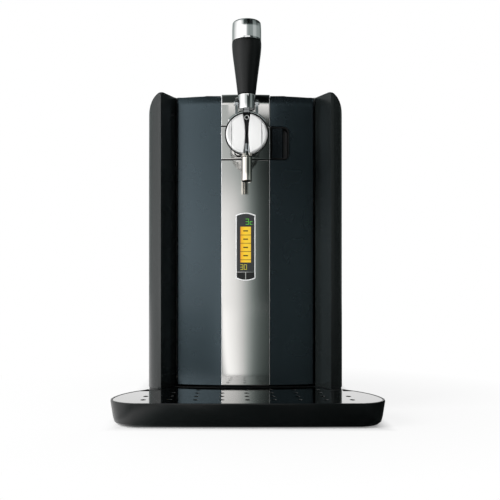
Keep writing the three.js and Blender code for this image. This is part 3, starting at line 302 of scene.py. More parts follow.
FINISHES = (
    # colour, roughness, the grain's scale, its depth in microns, and how much the plastic shines
    (moulded, {
        "gloss_black": ((0.0115, 0.0142, 0.0142), 0.24, 260, 4, 0.5),
        "tray_black": ((0.0022, 0.0032, 0.0034), 0.30, 1200, 6, 0.5),
        "satin_black": ((0.0042, 0.0050, 0.0053), 0.48, 900, 20, 0.5),
        "cup_black": ((0.0030, 0.0036, 0.0040), 0.35, 900, 20, 0.35),
        "button_black": ((0.0030, 0.0035, 0.0040), 0.20, 300, 3, 0.5),
        "core_black": ((0.0020, 0.0026, 0.0028), 0.14, 200, 2, 0.2),
        "grip_black": ((0.0018, 0.0024, 0.0026), 0.36, 1500, 8, 0.4),
        "rubber": ((0.0060, 0.0060, 0.0060), 0.78, 1600, 30, 0.3),
        "display_lens": ((0.030, 0.032, 0.034), 0.10, 200, 1, 0.5),
        "level_dark": ((0.020, 0.012, 0.003), 0.40, 900, 20, 0.5),
        # painted highlight: a pale colour for the ring round the display, in place of its edge's
        # highlight
        "pale_trim": ((0.82, 0.83, 0.83), 0.25, 300, 2, 0.5),
        "grey_plastic": ((0.27, 0.28, 0.29), 0.45, 900, 20, 0.5),
        "foam": ((0.60, 0.55, 0.44), 0.90, 500, 400, 0.5),
        "ceramic_white": ((0.76, 0.75, 0.71), 0.55, 700, 20, 0.5),
        "board_green": ((0.015, 0.090, 0.045), 0.40, 400, 30, 0.5),
    }),
    # the colours between and on the flakes
    (lacquer, {
        "slate_lacquer": ((0.061, 0.084, 0.098), (0.068, 0.094, 0.109)),
        "tab_lacquer": ((0.018, 0.024, 0.028), (0.026, 0.034, 0.040)),
    }),
    # colour, roughness, the lines' scale along each axis, and their depth in microns
    (brushed, {
        "polished_steel": ((0.69, 0.68, 0.66), 0.085, (1500, 1500, 14), 0.4),
        "plate_steel": ((0.48, 0.48, 0.475), 0.08, (30, 2200, 2200), 1),
        "plain_steel": ((0.50, 0.51, 0.52), 0.36, (300, 300, 300), 2),
        "aluminium": ((0.66, 0.67, 0.68), 0.42, (60, 60, 1400), 4),
    }),
    # colour, roughness, how metallic it is, and where its groove of painted shade runs
    (plated, {
        "chrome": ((0.90, 0.90, 0.90), 0.035, 1.0),
        "satin_chrome": ((0.87, 0.87, 0.865), 0.15, 0.50, COVER_SHUT),
        # painted highlight: a pale, less metallic finish for the strip's turned-back edges, which
        # shows as a bright line
        "bright_edge": ((0.80, 0.81, 0.82), 0.22, 0.25),
        # painted shade: a darker chrome for the tap's lugs and the spout's neck
        "shaded_chrome": ((0.36, 0.38, 0.39), 0.07, 1.0),
        "nickel": ((0.86, 0.82, 0.75), 0.05, 1.0),
    }),
    # the light's colour and its strength
    (lit, {
        "figure_green": ((0.16, 0.80, 0.06), 0.75),
        "figure_yellow": ((0.80, 0.70, 0.06), 0.75),
        "level_amber": ((0.36, 0.20, 0.01), 0.8),
    }),
    # the unlit colour, the patches' colour and the light's strength
    (level_light, {"level_yellow": ((0.02, 0.015, 0.0), (0.75, 0.38, 0.01), 0.95)}),
)
MATERIALS = {name: make(name, *row) for make, rows in FINISHES for name, row in rows.items()}


# Meshes

def add_piece(name, mesh, finish, body, slot, *nodes):
    """A named piece of the visual model, on its body, and in the place of the parts named."""
    piece = bpy.data.objects.new(name, mesh)
    bpy.context.scene.collection.objects.link(piece)
    mesh.materials.clear()
    mesh.materials.append(MATERIALS[finish])
    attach(piece, body)
    if nodes:
        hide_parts(*nodes)
    return piece


def second_finish(piece, finish, chosen):
    """Gives the faces that a test picks another finish."""
    piece.data.materials.append(MATERIALS[finish])
    for face in piece.data.polygons:
        if chosen(face):
            face.material_index = 1


def finished(bm, name, sharp):
    """The edited faces as a smooth mesh, whose edges over an angle in degrees stay sharp."""
    bmesh.ops.recalc_face_normals(bm, faces=bm.faces)
    mesh = bpy.data.meshes.new(name)
    bm.to_mesh(mesh)
    bm.free()
    mesh.shade_smooth()
    mesh.set_sharp_from_angle(angle=math.radians(sharp))
    return mesh


def ring_grid(name, points, filled=True, sharp=35):
    """A surface through a grid of points, rows by columns, whose columns close into a ring. Both
    end rows are filled, unless the last row meets the first."""
    rows, columns = points.shape[:2]
    index = np.arange(rows * columns).reshape(rows, columns)
    beside = np.roll(index, -1, axis=1)
    quads = np.stack([index[:-1], beside[:-1], beside[1:], index[1:]], axis=-1)
    faces = quads.reshape(-1, 4).tolist()
    if filled:
        faces += [index[0].tolist(), index[-1].tolist()]
    mesh = bpy.data.meshes.new(name)
    mesh.from_pydata(points.reshape(-1, 3).tolist(), [], faces)
    bm = bmesh.new()
    bm.from_mesh(mesh)
    bpy.data.meshes.remove(mesh)
    bmesh.ops.remove_doubles(bm, verts=bm.verts, dist=1e-7)
    bmesh.ops.dissolve_degenerate(bm, edges=bm.edges, dist=1e-7)
    return finished(bm, name, sharp)


def rounded_front(bm, high):
    """Cuts the facets of the door's round front into narrow ones, and moves the points that lie
    near its cylinder out onto it: (x, y) runs from the axis through the radius over its length.
    Near the top they then move back by the square of their height above the bend's start."""
    facet, cuts_in_bend, near = 0.004, 8, 0.0003
    start = high.z - PANEL_BEND_TALL
    below_top = np.linspace(0, PANEL_BEND_TALL, cuts_in_bend + 1)[1:]
    cuts = [((x, 0, 0), (1, 0, 0)) for x in np.arange(-DOOR_SIDE, high.x, facet)]
    cuts += [((0, 0, high.z - z), (0, 0, 1)) for z in below_top]
    for place, normal in cuts:
        every = bm.verts[:] + bm.edges[:] + bm.faces[:]
        bmesh.ops.bisect_plane(bm, geom=every, plane_co=place, plane_no=normal, dist=1e-5)
    for vert in bm.verts:
        reach = math.hypot(vert.co.x, vert.co.y - DOOR_AXIS)
        if abs(reach - DOOR_RADIUS) < near and vert.co.y < 0:
            vert.co.x *= DOOR_RADIUS / reach
            vert.co.y = DOOR_AXIS + (vert.co.y - DOOR_AXIS) * DOOR_RADIUS / reach
            above = max(vert.co.z - start, 0) / PANEL_BEND_TALL
            vert.co.y += PANEL_BEND_DEEP * above**2


def refined(node, finish, slot, width):
    """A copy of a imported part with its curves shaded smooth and, where a width is given, its
    flat facets merged and its edges rounded. It stands for the part and rides on its body."""
    flat, sharp = 0.25, 30
    source = frame["nodes"][node]
    bm = bmesh.new()
    bm.from_mesh(source.data)
    bmesh.ops.remove_doubles(bm, verts=bm.verts, dist=1e-6)
    if width:
        limit = math.radians(flat)
        bmesh.ops.dissolve_limit(bm, angle_limit=limit, verts=bm.verts, edges=bm.edges)
    if node.startswith("door_panel"):
        rounded_front(bm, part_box(node)[1])
    mesh = finished(bm, node + "_fine", sharp)
    piece = add_piece(node + "_fine", mesh, finish, source["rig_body"], slot, node)
    if width:
        bevel = piece.modifiers.new("round_edges", "BEVEL")
        bevel.width = width
        bevel.segments = 2
        bevel.limit_method = "ANGLE"
        bevel.angle_limit = math.radians(sharp)
        bevel.harden_normals = True
        bevel.use_clamp_overlap = True
    return piece


def smooth_profile(points, count):
    """Points along a smooth curve through the given (radius, height) points. Between two of them
    it is a cubic of the way gone, whose slope at either end is that between its neighbours."""
    p = np.asarray(points, float)
    p = np.vstack([2 * p[0] - p[1], p, 2 * p[-1] - p[-2]])
    t = np.linspace(0, len(points) - 1, count)
    i = np.minimum(t.astype(int), len(points) - 2)
    f = (t - i)[:, None]
    a, b, c, d = p[i], p[i + 1], p[i + 2], p[i + 3]
    cubic = -a + 3 * b - 3 * c + d
    square = 2 * a - 5 * b + 4 * c - d
    return 0.5 * (2 * b + (c - a) * f + square * f**2 + cubic * f**3)


def turned(name, profile, y, z, filled=True):
    """A profile of (radius, height) turned about the upright line through (0, y): each point
    becomes r cos a, y + r sin a, z + h."""
    steps = 96
    profile = np.asarray(profile, float)
    angle = np.linspace(0, 2 * np.pi, steps, endpoint=False)
    radius = profile[:, 0][:, None]
    height = np.broadcast_to(profile[:, 1][:, None], (len(profile), steps))
    points = [radius * np.cos(angle), y + radius * np.sin(angle), z + height]
    return ring_grid(name, np.stack(points, axis=-1), filled)


def corner_arc(cx, cz, radius, start, end, count=6):
    """Points on a quarter or other arc in the profile's plane, between two angles in degrees."""
    angle = np.radians(np.linspace(start, end, count))
    return np.stack([cx + radius * np.cos(angle), cz + radius * np.sin(angle)], axis=-1)


def upright(left, low, right, high, y):
    """An upright rectangle facing the front, as four corners."""
    return [(left, y, low), (right, y, low), (right, y, high), (left, y, high)]


def level(left, front, right, back, z):
    """A level rectangle, as four corners."""
    return [(left, front, z), (right, front, z), (right, back, z), (left, back, z)]


# The strip

def strip_section(half):
    """The strip's closed section as seen from above: the large arc of the door's front, both
    edges turned back over a small radius, and a flat back."""
    edge = 0.0011
    x = np.linspace(-half + edge, half - edge, 61)
    y = DOOR_AXIS - np.sqrt(STRIP_RADIUS**2 - x**2)
    right = corner_arc(half - edge, y[-1] + edge, edge, -90, 0, 8)
    left = np.stack([-right[::-1, 0], right[::-1, 1]], axis=-1)
    back = y[-1] + STRIP_PROUD + STRIP_BACK
    section = [np.stack([x, y], axis=-1), right[1:], [[half, back]], [[-half, back]], left[:-1]]
    return np.vstack(section)


def strip_rows(low, high, bend):
    """Rows of (height, set-back). An end is rounded over a small radius, or bends back over the
    quarter of an ellipse at the strip's top."""
    edge, bend_end, first_row, rows = 0.00045, 84, 0.001, 24
    turn = np.radians(np.linspace(0, 90, 5))
    end = np.stack([edge * (1 - np.cos(turn)), edge * (1 - np.sin(turn))], axis=-1)
    foot = end + [low, 0]
    if bend:
        turn = np.radians(np.linspace(0, bend_end, 26))
        start = high - STRIP_BEND_TALL
        risen = start + STRIP_BEND_TALL * np.sin(turn)
        head = np.stack([risen, STRIP_BEND_DEEP * (1 - np.cos(turn))], axis=-1)
        top = start - first_row
    else:
        head = end[::-1] * [-1, 1] + [high, 0]
        top = high - 2 * edge
    height = np.linspace(low + 2 * edge, top, rows)
    middle = np.stack([height, np.zeros(rows)], axis=-1)
    return np.vstack([foot, middle, head])


def strip_piece(name, node, bend=False):
    """The section carried upwards: each row's points move back by the row's set-back, except
    those of the flat back, which stay where the door carries them."""
    bend_back, edge_turn = 0.004, 0.40
    low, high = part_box(node)
    section = strip_section(high.x)
    rows = strip_rows(low.z, high.z, bend)
    last = section[:, 1].max() + (bend_back if bend else 0)
    y = np.minimum(section[None, :, 1] + rows[:, 1][:, None], last)
    x = np.broadcast_to(section[None, :, 0], y.shape)
    z = np.broadcast_to(rows[:, 0][:, None], y.shape)
    mesh = ring_grid(name, np.stack([x, y, z], axis=-1))
    piece = add_piece(name, mesh, "polished_steel", "door", "polished_steel", node)
    # painted highlight: the strip's side-facing edges get a pale finish that shows as a bright line
    second_finish(piece, "bright_edge", lambda face: abs(face.normal.x) > edge_turn)


# The tap

def leaned(points):
    """Points of the tap's own frame turned back by the lean and put in their place: y cos a +
    z sin a behind the tap's back plane, and z cos a - y sin a above its middle."""
    x, y, z = np.moveaxis(points, -1, 0)
    back = y * math.cos(COVER_LEAN) + z * math.sin(COVER_LEAN)
    up = z * math.cos(COVER_LEAN) - y * math.sin(COVER_LEAN)
    return np.stack([x, TAP_BACK + back, TAP_Z + up], axis=-1)


def cleft_half(z):
    """Half the cleft's width at a height above the tap's middle: narrow in the middle, and
    wider as the square of the height towards both ends."""
    narrow, end = 0.0020, 0.027
    spread = np.where(z > 0, 0.0032, 0.0028)
    return narrow + spread * (z / end) ** 2


def rolled(share, radius):
    """How far a rounded edge lies back at a share of its radius: R - R times the root of one
    less the share's square, which is a quarter circle."""
    return radius * (1 - np.sqrt(np.clip(1 - share**2, 0, 1)))


def cover_half(name, node, sign):
    """Half of the tap's round cover. Across, x runs from the cleft to the rim's circle, with
    marks at the shut line. The face bows over a large radius, falls away as the square of the
    distance past the shut line, and rolls over quarter circles at the rim and at the cleft."""
    radius, shut = COVER_RADIUS, COVER_SHUT
    roll_in, roll_out = 0.0010, 0.0020
    foot, head, rows = -86, 80, 76
    highest_x, bow_span, fall = 0.0085, 0.300, 6
    groove_deep, groove_half = 0.0004, 0.00024
    least = 0.0002

    z = radius * np.sin(np.radians(np.linspace(foot, head, rows)))
    rim = np.sqrt(radius**2 - z**2)
    inner = np.minimum(cleft_half(z), rim - least)
    marks = np.concatenate([
        np.linspace(0, 0.0011, 9),  # round the cleft's edge
        np.linspace(0.0018, shut - 0.0008, 22),  # over the face
        shut + np.linspace(-0.0004, 0.0004, 9),  # through the shut line
        np.linspace(shut + 0.0008, radius - 0.0022, 7),  # on to the rim
        radius - roll_out * (1 - np.sin(np.linspace(0, np.pi / 2, 12))),  # and round it
    ])
    start = inner[:, None] * (1 - marks / radius)
    x = np.clip(start + marks, inner[:, None], rim[:, None])

    near = np.clip((x - inner[:, None]) / roll_in, 0, 1)
    over = np.clip((np.hypot(x, z[:, None]) - (radius - roll_out)) / roll_out, 0, 1)
    edges = np.maximum(rolled(1 - near, roll_in), rolled(over, roll_out))
    bow = (x - highest_x) ** 2 / bow_span
    outside = fall * np.clip(x - shut, 0, None) ** 2
    groove = groove_deep * np.exp(-(((x - shut) / groove_half) ** 2))
    front = -COVER_THICK + bow + outside + groove + edges

    height = np.broadcast_to(z[:, None], x.shape)
    face = leaned(np.stack([sign * x, front, height], axis=-1))
    face[:, :, 1] = np.minimum(face[:, :, 1], TAP_BACK + COVER_PLANE - least)
    behind = face[:, ::-1].copy()
    behind[:, :, 1] = TAP_BACK + COVER_PLANE
    mesh = ring_grid(name, np.concatenate([face, behind], axis=1), sharp=50)
    add_piece(name, mesh, "satin_chrome", "door", "chrome", node)


def core_bar():
    """The bar in the cleft. Its front is a cubic of the height, so that its top faces forwards,
    its middle up and its foot down, and its sides curve back as the fourth power across."""
    foot, head, gap, thick = -0.0135, 0.0168, 0.0004, 0.0012
    middle, slope, square, cubic, side = -0.0050, 0.105, 3.6, -268, 0.0011
    z = np.linspace(foot, head, 40)[:, None]
    across = np.linspace(-1, 1, 15)[None, :]
    x = across * (cleft_half(z) - gap)
    y = middle + slope * z + square * z**2 + cubic * z**3 + side * across**4
    points = [x, np.broadcast_to(y, x.shape), np.broadcast_to(z, x.shape)]
    front = leaned(np.stack(points, axis=-1))
    behind = front[:, ::-1].copy()
    behind[:, :, 1] += thick
    mesh = ring_grid("tap_core_bar", np.concatenate([front, behind], axis=1), sharp=50)
    add_piece("tap_core_bar", mesh, "core_black", "door", "satin_black")


def core_ferrule():
    """A thin ring round the little hole at the cleft's top: a circle of r carried round a circle
    of R, as (R + r cos v) cos u, r sin v and (R + r cos v) sin u."""
    large, small, proud, height = 0.0026, 0.0006, -0.0046, 0.0214
    u = np.linspace(0, 2 * np.pi, 40, endpoint=False)[None, :]
    v = np.linspace(0, 2 * np.pi, 13)[:, None]
    reach = large + small * np.cos(v)
    y = np.broadcast_to(proud + small * np.sin(v), (v.size, u.size))
    points = np.stack([reach * np.cos(u), y, height + reach * np.sin(u)], axis=-1)
    mesh = ring_grid("tap_core_ferrule", leaned(points), filled=False)
    add_piece("tap_core_ferrule", mesh, "chrome", "door", "chrome")


def aslant(mesh, low):
    """Raises points near the spout's tip by a share of their distance in front of its axis. The
    share falls off evenly with the height above the tip."""
    slope, tall, radius = 0.15, 0.010, 0.0063
    points = np.empty(len(mesh.vertices) * 3)
    mesh.vertices.foreach_get("co", points)
    points = points.reshape(-1, 3)
    share = np.clip(1 - (points[:, 2] - low) / tall, 0, 1)
    points[:, 2] += slope * share * (SPOUT_Y + radius - points[:, 1])
    mesh.vertices.foreach_set("co", points.ravel())


def spout_pieces():
    """The spout: a long sleeve with a rounded lip, its bore, a flare under the cover, and the
    dark lining in its mouth. The mouth is cut aslant."""
    low, high = (corner.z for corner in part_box("spout"))
    sleeve, bore, tube, tube_bore = 0.0065, 0.0056, 0.0043, 0.0030
    shade_from = 0.0362
    waist = [(0.0074, 0.0328), (0.0062, 0.0350), (0.0048, 0.0382), (tube, 0.0440)]
    outside = np.vstack([
        corner_arc(sleeve - 0.0005, 0.0005, 0.0005, -90, 0),
        [[sleeve, 0.0120], [sleeve, 0.0298]],
        corner_arc(sleeve + 0.0008, 0.0304, 0.0008, 180, 120, 5),
        corner_arc(0.0073, 0.0320, 0.0006, -50, 50, 6),
        smooth_profile(waist, 14),
        [[tube, high - low], [tube_bore, high - low]],
    ])
    inside = [[tube_bore, 0.013], [bore, 0.011], [bore, 0.0005], [bore + 0.0004, 0.0]]
    profile = np.vstack([outside, inside, outside[:1]])
    mesh = turned("spout_sleeve", profile, SPOUT_Y, low, filled=False)
    aslant(mesh, low)
    piece = add_piece("spout_sleeve", mesh, "nickel", "door", "chrome", "spout")
    # painted shade: the sleeve's neck above shade_from gets a darker chrome
    second_finish(piece, "shaded_chrome", lambda face: face.center.z > low + shade_from)

    lining = [
        [0.0, 0.0090], [bore - 0.0001, 0.0090], [bore - 0.0001, 0.0010], [bore - 0.0004, 0.0007],
        [bore - 0.0006, 0.0012], [bore - 0.0006, 0.0080], [0.0, 0.0080],
    ]
    mesh = turned("spout_lining", lining, SPOUT_Y, low)
    aslant(mesh, low)
    add_piece("spout_lining", mesh, "rubber", "door", "rubber")


# The lever

def lever_pieces():
    """The cap, the grip and the collar, each a smooth profile turned about the lever's line."""
    cap = np.vstack([
        [[0.0, 0.0775], [0.0178, 0.0775]],
        corner_arc(0.0180, 0.0780, 0.0004, -80, 10, 5),
        smooth_profile(
            [(0.0185, 0.0790), (0.0185, 0.0850), (0.01845, 0.0920), (0.0182, 0.0975)], 20
        ),
        corner_arc(0.0150, 0.0990, 0.0031, 8, 76, 14),
        smooth_profile([(0.0130, 0.1026), (0.0090, 0.1034), (0.0045, 0.1038), (0.0, 0.1039)], 24),
    ])
    grip = np.vstack([
        [[0.0, 0.0107], [0.0106, 0.0107]],
        smooth_profile(
            [(0.0113, 0.0112), (0.0119, 0.0150), (0.0136, 0.0290), (0.0158, 0.0460),
             (0.0176, 0.0600), (0.0184, 0.0682), (0.0186, 0.0742), (0.0184, 0.0767)], 60
        ),
        [[0.0179, 0.0772], [0.0, 0.0772]],
    ])
    collar = np.vstack([
        [[0.0, -0.0080]],
        corner_arc(0.0098, -0.0073, 0.0007, -90, 0),
        [[0.0105, 0.0092]],
        corner_arc(0.0099, 0.0098, 0.0006, 0, 90),
        [[0.0, 0.0104]],
    ])
    for node, profile, finish in (
        ("lever_cap", cap, "chrome"),
        ("lever_grip", grip, "grip_black"),
        ("lever_collar", collar, "chrome"),
    ):
        mesh = turned(node + "_fine", profile, LEVER_Y, LEVER_Z)
        add_piece(node + "_fine", mesh, finish, "tap_lever", finish, node)


# The display's figures

SEGMENTS = {"0": "abcdef", "3": "abgcd", "c": "deg"}
SEGMENT_ENDS = {
    "a": ((0, 1), (1, 1)), "b": ((1, 1), (1, 0.5)), "c": ((1, 0.5), (1, 0)),
    "d": ((0, 0), (1, 0)), "e": ((0, 0.5), (0, 0)), "f": ((0, 1), (0, 0.5)),
    "g": ((0, 0.5), (1, 0.5)),
}

# Each row's finish, its foot and its height, and each figure with its left side and its width
FIGURES = {
    "figures_above": (
        "figure_green", 0.2487, 0.0072, (("3", 0.0004, 0.0036), ("c", 0.0060, 0.0026)),
    ),
    "figures_below": (
        "figure_yellow", 0.1882, 0.0064, (("3", -0.0068, 0.0032), ("0", -0.0019, 0.0032)),
    ),
}


def figure_bars(mark, left, low, width, height, y):
    """A figure of straight segments, each a slim bar between two of the figure's corners."""
    half = 0.00034
    bars = []
    for name in SEGMENTS[mark]:
        (x0, z0), (x1, z1) = SEGMENT_ENDS[name]
        x0, x1 = sorted((left + x0 * width, left + x1 * width))
        z0, z1 = sorted((low + z0 * height, low + z1 * height))
        bars.append(upright(x0 - half, z0 - half, x1 + half, z1 + half, y))
    return bars


def flat_piece(name, bars, finish):
    """Flat bars as one thin piece on the display, each with its own four corners."""
    points = [corner for one in bars for corner in one]
    faces = [tuple(range(4 * i, 4 * i + 4)) for i in range(len(bars))]
    mesh = bpy.data.meshes.new(name)
    mesh.from_pydata(points, [], faces)
    add_piece(name, mesh, finish, "door", "display_lens")


def display_figures():
    """The yellow field with its lines and dashes, and the figures above and below it, each a
    hair in front of the lens or of what it lies on."""
    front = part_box("display_lens")[0].y
    on_lens, on_field, on_lines = front - 0.00004, front - 0.00006, front - 0.00008
    first, pitch = 0.2399, 0.01105
    dash_half, dash_thick, line_thick = 0.0032, 0.0008, 0.0005
    field = upright(-LEVEL_HALF, LEVEL_LOW, LEVEL_HALF, LEVEL_HIGH, on_lens)
    flat_piece("level_field", [field], "level_yellow")
    dashes, lines = [], []
    for i in range(4):
        z = first - i * pitch
        dashes.append(upright(-dash_half, z - dash_thick, dash_half, z + dash_thick, on_lines))
        z = z - pitch / 2
        lines.append(upright(-LEVEL_HALF, z - line_thick, LEVEL_HALF, z + line_thick, on_field))
    flat_piece("level_dashes", dashes, "level_dark")
    flat_piece("level_lines", lines, "level_amber")
    for name, (finish, low, height, marks) in FIGURES.items():
        bars = []
        for mark, left, width in marks:
            bars += figure_bars(mark, left, low, width, height, on_lens)
        flat_piece(name, bars, finish)


def display_surround():
    """A thin ring round the display, on the strip, coloured pale as a painted highlight of its
    edge. Its path is an upright rectangle whose ends bow out by the square of x, and its section is
    a low flat band carried round it, given by how far out and how proud of the strip each of its
    corners lies."""
    half, foot, head, bow, width = 0.0118, 0.1776, 0.2598, 0.0031, 0.0014
    section = (
        (0.0001, -0.0003), (0.0001, 0.0005), (0.5 * width, 0.0006), (width, 0.0004),
        (width, -0.0003),
    )
    turn = np.linspace(-1, 1, 33)
    side = np.linspace(0, 1, 25)[1:-1]
    rings = []
    for out, proud in section:
        wide = half + out
        top = np.stack([wide * turn, head + out + bow * (1 - turn**2)], axis=-1)
        low = np.stack([-wide * turn, foot - out - bow * (1 - turn**2)], axis=-1)
        down = top[-1, 1] + side * (low[0, 1] - top[-1, 1])
        up = low[-1, 1] + side * (top[0, 1] - low[-1, 1])
        right = np.stack([np.full(side.size, wide), down], axis=-1)
        left = np.stack([np.full(side.size, -wide), up], axis=-1)
        path = np.vstack([top, right, low, left])
        y = DOOR_AXIS - np.sqrt((STRIP_RADIUS + proud) ** 2 - path[:, 0] ** 2)
        rings.append(np.stack([path[:, 0], y, path[:, 1]], axis=-1))
    mesh = ring_grid("display_surround", np.stack(rings + rings[:1]), filled=False)
    # painted highlight: the ring is coloured pale
    add_piece("display_surround", mesh, "pale_trim", "door", "polished_steel")


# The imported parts: finish, slot, and how widely the edges are rounded

OUTSIDE = {
    "side_panel_left": ("gloss_black", "gloss_black", 0.0006),
    "side_panel_right": ("gloss_black", "gloss_black", 0.0006),
    "top_cover": ("satin_black", "satin_black", 0.0006),
    "rear_cover": ("satin_black", "satin_black", 0),
    "base_pan": ("satin_black", "satin_black", 0.0006),
    "front_frame": ("satin_black", "satin_black", 0.0004),
    "door_frame": ("satin_black", "satin_black", 0.0003),
    "door_panel_left": ("slate_lacquer", "slate_lacquer", 0.0007),
    "door_panel_right": ("slate_lacquer", "slate_lacquer", 0.0005),
    "latch_cup": ("cup_black", "satin_black", 0.0003),
    "release_tab": ("tab_lacquer", "gloss_black", 0.0003),
    "display_lens": ("display_lens", "display_lens", 0.0004),
    "button_left": ("button_black", "button_black", 0.0003),
    "button_right": ("button_black", "button_black", 0.0003),
    "tap_housing": ("chrome", "chrome", 0.0006),
    "tap_core": ("core_black", "satin_black", 0.0002),
    "lever_pin": ("chrome", "chrome", 0.0003),
    "drip_tray": ("tray_black", "gloss_black", 0.0006),
    "drip_plate": ("plate_steel", "plate_steel", 0.0002),
    "door_liner": ("grey_plastic", "grey_plastic", 0.0006),
    "door_seal": ("rubber", "rubber", 0.0006),
    "chamber_liner": ("grey_plastic", "grey_plastic", 0.0008),
    "docking_bail": ("grey_plastic", "grey_plastic", 0.0006),
    "docking_head": ("grey_plastic", "grey_plastic", 0.0006),
    "keg_seat": ("rubber", "rubber", 0.0006),
    "power_inlet": ("satin_black", "satin_black", 0.0003),
}


def dress_parts():
    """Fine copies of the parts seen from outside or through the open door, and materials for
    the rest, by the record's slots."""
    facing_back, lugs_above = 0.9, 0.3845
    slots = {part["node"]: part["material_slot"] for part in frame["record"]["subparts"]}
    for node, part in frame["nodes"].items():
        if node in OUTSIDE:
            finish, slot, width = OUTSIDE[node]
            piece = refined(node, finish, slot, width)
            if node == "tap_core":  # the strip reflects the ring's bright back
                second_finish(piece, "chrome", lambda face: face.normal.y > facing_back)
            if node == "tap_housing":  # the lugs stand in the cap's shade
                # painted shade: the lugs above lugs_above get a darker chrome
                second_finish(piece, "shaded_chrome", lambda face: face.center.z > lugs_above)
        part.data.materials.clear()
        part.data.materials.append(MATERIALS[slots[node]])


# The stage. Glossy surfaces see a dome and a few cards, whose light repeats the photograph's
# reflections. Each table gives light by an angle in degrees, either round the machine, with 0 in
# front and the right positive, or above the level.

FULL_TURN, HALF_TURN = 360, 180
FRONT_ROUND = (
    (-54, 0.0), (-34, 0.85), (-22, 1.38), (-15, 1.20), (-10, 1.28), (-5, 1.10), (-1.7, 0.88),
    (1, 0.63), (3.75, 0.37), (6.5, 0.20), (9.2, 0.11), (13, 0.06), (18, 0.02),
)
FRONT_RISE = (
    (-40, 0.05), (-14, 0.50), (-8, 0.95), (2, 1.0), (5.2, 0.96), (8.8, 0.86), (11.8, 0.50),
    (17, 0.47), (21, 0.42), (22, 0.92), (27, 0.92), (28.5, 0.04),
)
RIGHT_ROUND = ((16, 0.0), (24, 0.16), (42, 0.19), (58, 0.0))
RIGHT_RISE = ((-10, 0.8), (3, 1.0), (6, 0.75), (10, 0.30), (16, 0.10))
SIDES_ROUND = (
    (-178, 1.08), (-163, 1.00), (-150, 0.45), (-128, 0.50), (-115, 0.78), (-98, 1.18),
    (-78, 1.60), (-60, 2.20), (-34, 0.90), (-22, 0.0), (44, 0.0), (52, 0.30), (72, 0.28),
    (84, 0.06), (130, 0.02), (148, 0.30), (163, 1.00), (178, 1.08),
)
SIDES_RISE = (
    (-50, 0.1), (-12, 0.9), (6, 1.0), (13, 0.78), (30, 0.68), (45, 0.25), (80, 0.20),
)
HIGH_RIGHT_ROUND = ((2, 0.0), (8, 0.28), (122, 0.26), (132, 0.0))
HIGH_RIGHT_RISE = ((21.2, 0.0), (22, 0.9), (27, 0.9), (28.5, 0.0))
TABLE_ROUND = (
    (-180, 0.9), (-100, 1.1), (-60, 1.2), (-40, 0.20), (-20, 0.14), (-15, 0.60), (-11, 1.50),
    (-5, 1.18), (-1.7, 0.90), (1, 0.65), (3.75, 0.38), (6.5, 0.22), (9.2, 0.14), (13, 0.09),
    (18, 0.05), (26, 0.12), (60, 0.03), (150, 0.03), (180, 0.4),
)

# Light by distance from the middle to the right, and by height
TRAY_ACROSS = (
    (-0.168, 1.5), (-0.15, 1.1), (-0.13, 0.42), (-0.11, 0.15), (-0.05, 0.07), (0.03, 0.04),
    (0.12, 0.02),
)
TAP_HEIGHTS = ((0.49, 0.66), (0.512, 1.08), (0.55, 1.0), (0.578, 0.7))

# Each lamp's place, its size and its power in watts
LAMPS = {
    "key": ((-2.3, -1.3, 1.5), (1.4, 1.4), 92),
    "fill": ((-0.5, -2.5, 2.2), (1.4, 1.0), 14),
    "back": ((-0.3, 2.4, 1.9), (1.6, 1.2), 30),
}
LAMP_TARGET = (0, -0.05, 0.2)
DIFFUSE_WORLD_LIGHT = 0.24


def stage_plane(name, corners, material):
    """A flat face of the stage, through its corners."""
    mesh = bpy.data.meshes.new(name)
    mesh.from_pydata(corners, [], [tuple(range(len(corners)))])
    plane = bpy.data.objects.new(name, mesh)
    plane.data.materials.append(material)
    bpy.context.scene.collection.objects.link(plane)
    return plane


def only_reflected(stage_object):
    """Leaves a studio card visible in reflections alone."""
    stage_object.visible_camera = False
    stage_object.visible_diffuse = False
    stage_object.visible_transmission = False
    stage_object.visible_shadow = False


def floor_material():
    """A pale floor. For the camera and in reflections it is mostly plain white, fully so away
    from the object. Near the object it keeps its shadow, most of all along the tray's foot."""
    tray_half, tray_ahead = 0.150, 0.236
    shaded, clear = 0.24, 0.50
    finish = Finish("floor", base_color=(0.86, 0.86, 0.86), roughness=0.9)
    x, y = finish.axis("X"), finish.axis("Y")
    far = finish.maths("SQRT", x * x + y * y)
    rays = finish.node("ShaderNodeLightPath", {}, {}).socket.node.outputs
    direct, glossy, through = (
        Field(finish, rays["Is %s Ray" % kind]) for kind in ("Camera", "Glossy", "Transmission")
    )
    seen = finish.maths("MINIMUM", direct + glossy + through, 1.0)
    away = finish.ramp(far, (shaded, 0.86), (clear, 1))
    beside = finish.maths("ABSOLUTE", x) - tray_half
    ahead = finish.maths("ABSOLUTE", y) - tray_ahead
    edge = finish.maths("MAXIMUM", beside, ahead)
    # from 0 to 1 over a decimetre, with the tray's foot at 0.5
    close = finish.ramp(10 * edge + 0.5, (0.50, 0.30), (0.72, 1))
    white = finish.node("ShaderNodeEmission", {}, {"Strength": 1.0})
    mixed = finish.node("ShaderNodeMixShader", {}, {0: seen * away * close, 2: white})
    finish.tree.links.new(finish.shader.outputs[0], mixed.socket.node.inputs[1])
    finish.gives(mixed.socket)
    return finish.material


def round_turn(finish, forward):
    """The direction round the machine from 0 to 1, with 0.5 in front: the angle whose tangent is
    x over the way forward."""
    return finish.maths("ARCTAN2", finish.axis("X"), forward) / (2 * math.pi) + 0.5


def light_by(finish, turn, table, span):
    """A table's light at an angle, which runs from 0 to 1 over a span of degrees about zero."""
    return finish.ramp(turn, *((degrees / span + 0.5, light) for degrees, light in table))


def glowing(finish, light):
    """Lets a material give off light, with the dim light a little green as in the photograph."""
    tint = finish.ramp(light, (0.0, (0.80, 1.0, 0.97)), (0.35, (0.90, 1.0, 0.98)), (0.85, 1))
    colour = finish.blend(1.0, light, tint, "MULTIPLY")
    glow = finish.node("ShaderNodeEmission", {}, {"Color": colour, "Strength": 1.0})
    finish.gives(glow.socket)
    return finish.material


